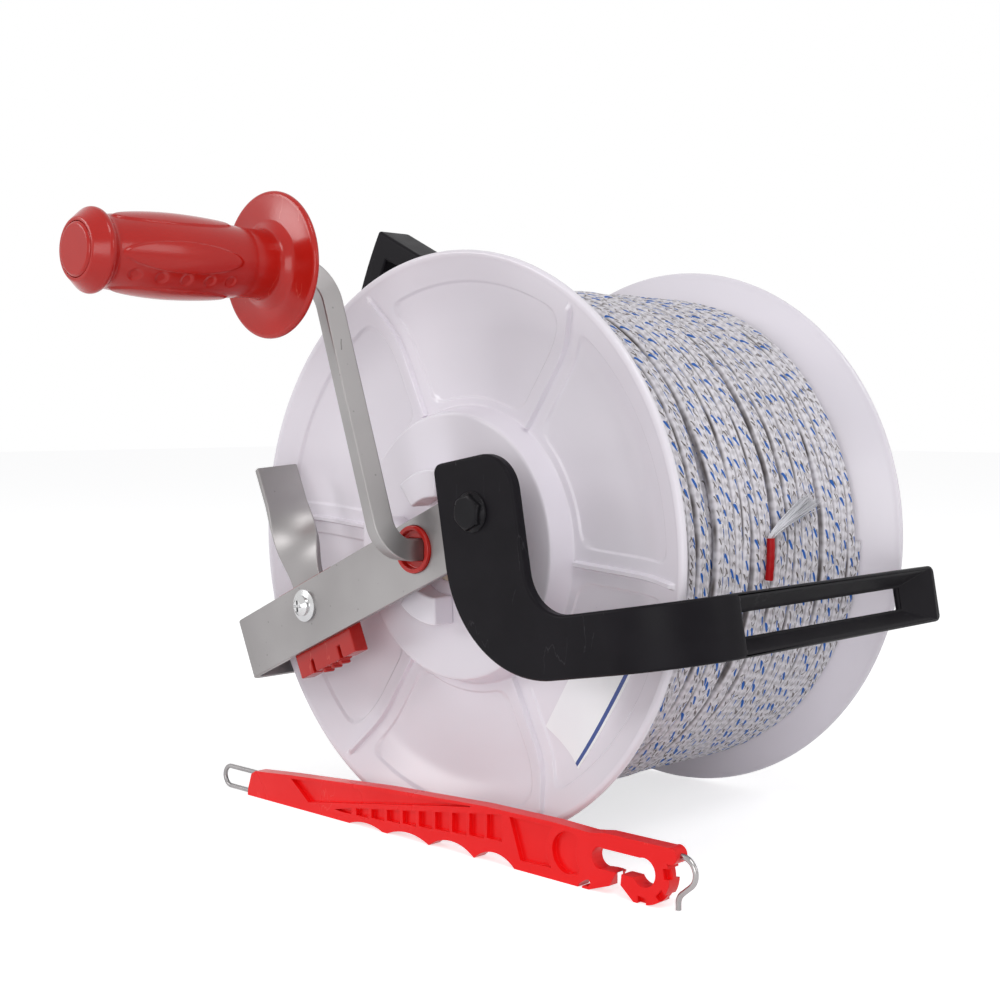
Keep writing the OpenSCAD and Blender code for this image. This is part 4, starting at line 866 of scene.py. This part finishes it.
def wound_layer(name, **values):
    """One layer of line as a plain mesh on the spool. Values fill the tree's named inputs."""
    piece = in_scene(name, bpy.data.meshes.new(name))
    maker = piece.modifiers.new("wind", "NODES")
    maker.node_group = wound
    for item in wound.interface.items_tree:
        if item.in_out == "INPUT" and item.name in values:
            maker[item.identifier] = values[item.name]
    plain(piece)
    print(name, "faces", len(piece.data.polygons), "materials", [m.name for m in piece.data.materials if m])
    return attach(piece, "spool")


outer = wound_layer(
    "line_outer", Turns=25.0, Radius=(WINDING_R - STRAND) * MM, Length=(SPOOL_LENGTH - 2 * FIRST) * MM,
    Strand=STRAND * MM, Wander=0.006, Seed=3.0, Steps=110, Start=place(0, FIRST, 0), Sides=9)
wound_layer(
    "line_under", Turns=24.0, Radius=(WINDING_R - UNDER_STRANDS * STRAND) * MM,
    Length=(SPOOL_LENGTH - 2 * UNDER_FIRST) * MM,
    Strand=STRAND * MM, Wander=0.004, Seed=11.0, Steps=64, Start=place(0, UNDER_FIRST, 0), Sides=6)
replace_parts(outer, "winding_layer")

# %% Body of line under the layers, coloured darker as painted shade of the turns above it
BULK_R, BULK_INNER, BULK_GAP = 104, 57.4, 0.3
near, far = BACK + BULK_GAP, SPOOL_LENGTH - BULK_GAP - BACK
turns = np.radians(np.arange(0, 360, 3))
bulk_profile = rounded([(BULK_INNER, near, 0), (BULK_R, near, 1), (BULK_R, far, 1), (BULK_INNER, far, 0)])
rings = []
for r, y in bulk_profile:
    rings.append(np.stack([r * np.cos(turns), np.full(len(turns), y), r * np.sin(turns)], 1))
# Painted shade: the body of line gets a darker grey than the pale line, for the shade of the turns above it.
painted_shade_line = finish("painted_shade_line", rgb(150, 146, 150), rgb(112, 106, 106), (0.5, 0.6), 700, 0.2, shine=0.2)
bulk = piece_from_rings("line_bulk", np.array(rings), painted_shade_line, True)
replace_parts(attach(bulk, "spool"), "winding_core")

# %% [markdown]
# ## Taped end of the line
# The loose end is laid on the winding and held with a wrap of red tape; beyond it the line frays into
# white fibres and a few blue ones. A particle system could grow the fibres, but the export keeps no hair.
# Here the tape is a swept tube that bulges a little, and each fibre is a thin three-sided tube whose bend is
# drawn by chance from a fixed seed.

# %% Tape
TAPE_Y, TAPE_R, TAPE_THICK = 73, 113.4, 1.7
TAPE_FROM, TAPE_TO, TAPE_RINGS = -5.9, 2.8, 16
TAPE_SWAY, TAPE_BULGE = 0.3, 0.08
NOT_ALONG = (0.3, 0.9, 0.2)


def tube(points, radii, sides):
    """Rings of a tube along points in reel millimetres."""
    points = np.array(points, float)
    heading = np.gradient(points, axis=0)
    rings = []
    for p, d, r in zip(points, heading, radii):
        d = d / np.linalg.norm(d)
        u = np.cross(d, NOT_ALONG)
        u /= np.linalg.norm(u)
        v = np.cross(d, u)
        a = np.linspace(0, 2 * np.pi, sides, endpoint=False)
        rings.append(p + r * (np.outer(np.cos(a), u) + np.outer(np.sin(a), v)))
    return np.array(rings)


red_tape = finish("red_tape", rgb(172, 12, 18), rgb(156, 9, 14), (0.4, 0.55), 1200, 0.15, shine=0.2)
spans = np.radians(np.linspace(TAPE_FROM, TAPE_TO, TAPE_RINGS))
route = [(TAPE_R * math.cos(a), TAPE_Y + TAPE_SWAY * math.sin(9 * a), TAPE_R * math.sin(a)) for a in spans]
radii = TAPE_THICK + TAPE_BULGE * np.sin(np.arange(TAPE_RINGS) * 1.7)
tape = piece_from_rings("end_tape", tube(route, radii, 14), red_tape, False)
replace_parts(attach(tape, "spool"), "line_end")

# %% Frayed fibres
FRAY_FROM, FRAY_R, FRAY_THICK = 2.6, 113.0, 0.8
TIP_AWAY, TIP_TURN, TIP_LIFT = (31, 3.4), (9.6, 0.9), (0.4, 3.2)
FIBRE_POINTS, FIBRE_SIDES, FIBRE_TAPER = 9, 3, 0.6


def hairs(name, count, material, seed, thick):
    """Fibres that leave the tape and fan out over the winding."""
    dice = np.random.default_rng(seed)
    t = np.linspace(0, 1, FIBRE_POINTS)
    points, faces = [], []
    for _ in range(count):
        base = math.radians(FRAY_FROM + dice.uniform(-0.3, 0.3))
        tip_y = TAPE_Y + dice.normal(*TIP_AWAY)
        tip_a = math.radians(dice.normal(*TIP_TURN))
        lift = dice.uniform(*TIP_LIFT)
        angle = base + (tip_a - base) * t ** 0.8
        r = FRAY_R + dice.uniform(-FRAY_THICK, FRAY_THICK) * (1 - t) + lift * np.sin(np.pi * t * 0.8)
        y = TAPE_Y + dice.uniform(-FRAY_THICK, FRAY_THICK) + (tip_y - TAPE_Y) * t ** 1.25
        route = np.stack([r * np.cos(angle), y, r * np.sin(angle)], 1)
        rings = tube(route, thick * (1 - FIBRE_TAPER * t), FIBRE_SIDES)
        first = len(points)
        points += [place(*p) for p in rings.reshape(-1, 3)]
        for low in range(first, len(points) - FIBRE_SIDES, FIBRE_SIDES):
            for j in range(FIBRE_SIDES):
                a, b = low + j, low + (j + 1) % FIBRE_SIDES
                faces.append((a, b, b + FIBRE_SIDES, a + FIBRE_SIDES))
        faces.append(tuple(reversed(range(first, first + FIBRE_SIDES))))
        faces.append(tuple(range(len(points) - FIBRE_SIDES, len(points))))
    mesh = bpy.data.meshes.new(name)
    mesh.from_pydata(points, [], faces)
    mesh.materials.append(material)
    mesh.shade_smooth()
    piece = in_scene(name, mesh)
    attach(piece, "spool")
    print(name, "fibres", count, "faces", len(faces))


pale_fibre = finish("pale_fibre", rgb(240, 240, 244), rgb(226, 226, 232), (0.4, 0.55), 900, 0.05)
blue_fibre = finish("blue_fibre", rgb(40, 100, 198), rgb(60, 120, 210), (0.4, 0.55), 900, 0.05)
hairs("frayed_end", 80, pale_fibre, 4, 0.32)
hairs("frayed_blue", 2, blue_fibre, 21, 0.34)

# %% [markdown]
# ## Bare label
# A white sticker with one blue stripe lies on the web, low on the right. A Shrinkwrap modifier could lay a
# sheet on the flange. The relief is a formula, so the sheet's points are simply put on it, a fraction of a
# millimetre above the plastic. The stripe is a band of the sticker's own UV map, and needs no picture.

# %% Label film
STRIPE_FROM, STRIPE_TO = 0.87, 0.95
label_film = bpy.data.materials.new("label_film")
tree = blank(label_film)
film_uv = add(tree, "ShaderNodeUVMap", uv_map="film").outputs[0]
over = add(tree, "ShaderNodeSeparateXYZ", {0: film_uv}).outputs[0]
past_first = calc(tree, "GREATER_THAN", over, STRIPE_FROM)
stripe = calc(tree, "MULTIPLY", past_first, calc(tree, "LESS_THAN", over, STRIPE_TO))
moulded = add(tree, "ShaderNodeGroup", {"Fineness": 900.0}, node_tree=grain)
paper = mixed(tree, moulded.outputs["Tone"], rgb(247, 247, 249), rgb(241, 241, 245))
look = {"Base Color": mixed(tree, stripe, paper, rgb(38, 66, 140)), "Roughness": 0.3}
surface = add(tree, "ShaderNodeBsdfPrincipled", look).outputs[0]
add(tree, "ShaderNodeOutputMaterial", {"Surface": surface})
print("label film nodes", len(tree.nodes))

# %% Label sheet: a grid along the stripe and across it, with a thickness
LABEL_CORNER, LABEL_ALONG, LABEL_ACROSS = np.array([[91.8, -43.7], [-25.4, -42.6], [-22.4, 13.5]])
ALONG_N, ACROSS_N = 24, 14
FILM_THICK, FILM_GAP = 0.22, 0.02
points, uvs = [], []
for layer in (0, 1):
    for i in range(ALONG_N + 1):
        for j in range(ACROSS_N + 1):
            x, z = LABEL_CORNER + LABEL_ALONG * i / ALONG_N + LABEL_ACROSS * (1 - j / ACROSS_N)
            r = np.hypot(x, z)
            face = float(dish(r) + web_relief(r, np.degrees(np.arctan2(z, x))))
            points.append(place(x, face - FILM_GAP - FILM_THICK * layer, z))
            uvs.append((j / ACROSS_N, i / ALONG_N))
cols = ACROSS_N + 1
grid = np.arange(cols * (ALONG_N + 1)).reshape(ALONG_N + 1, cols)
corners = [grid[:-1, :-1], grid[:-1, 1:], grid[1:, 1:], grid[1:, :-1]]
quads = np.stack(corners, 2).reshape(-1, 4)
border = np.concatenate([grid[0], grid[1:, -1], grid[-1, -2::-1], grid[-2:0:-1, 0]])
after = np.roll(border, -1)
sides = np.stack([border, after, grid.size + after, grid.size + border], 1)
mesh = bpy.data.meshes.new("bare_label")
mesh.from_pydata(points, [], np.concatenate([quads, quads + grid.size, sides]).tolist())
faced_outwards(mesh)
sheet = mesh.uv_layers.new(name="film")
for loop in mesh.loops:
    sheet.data[loop.index].uv = uvs[loop.vertex_index]
mesh.materials.append(label_film)
label = in_scene("bare_label", mesh)
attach(label, "spool")
print("label faces", len(mesh.polygons))
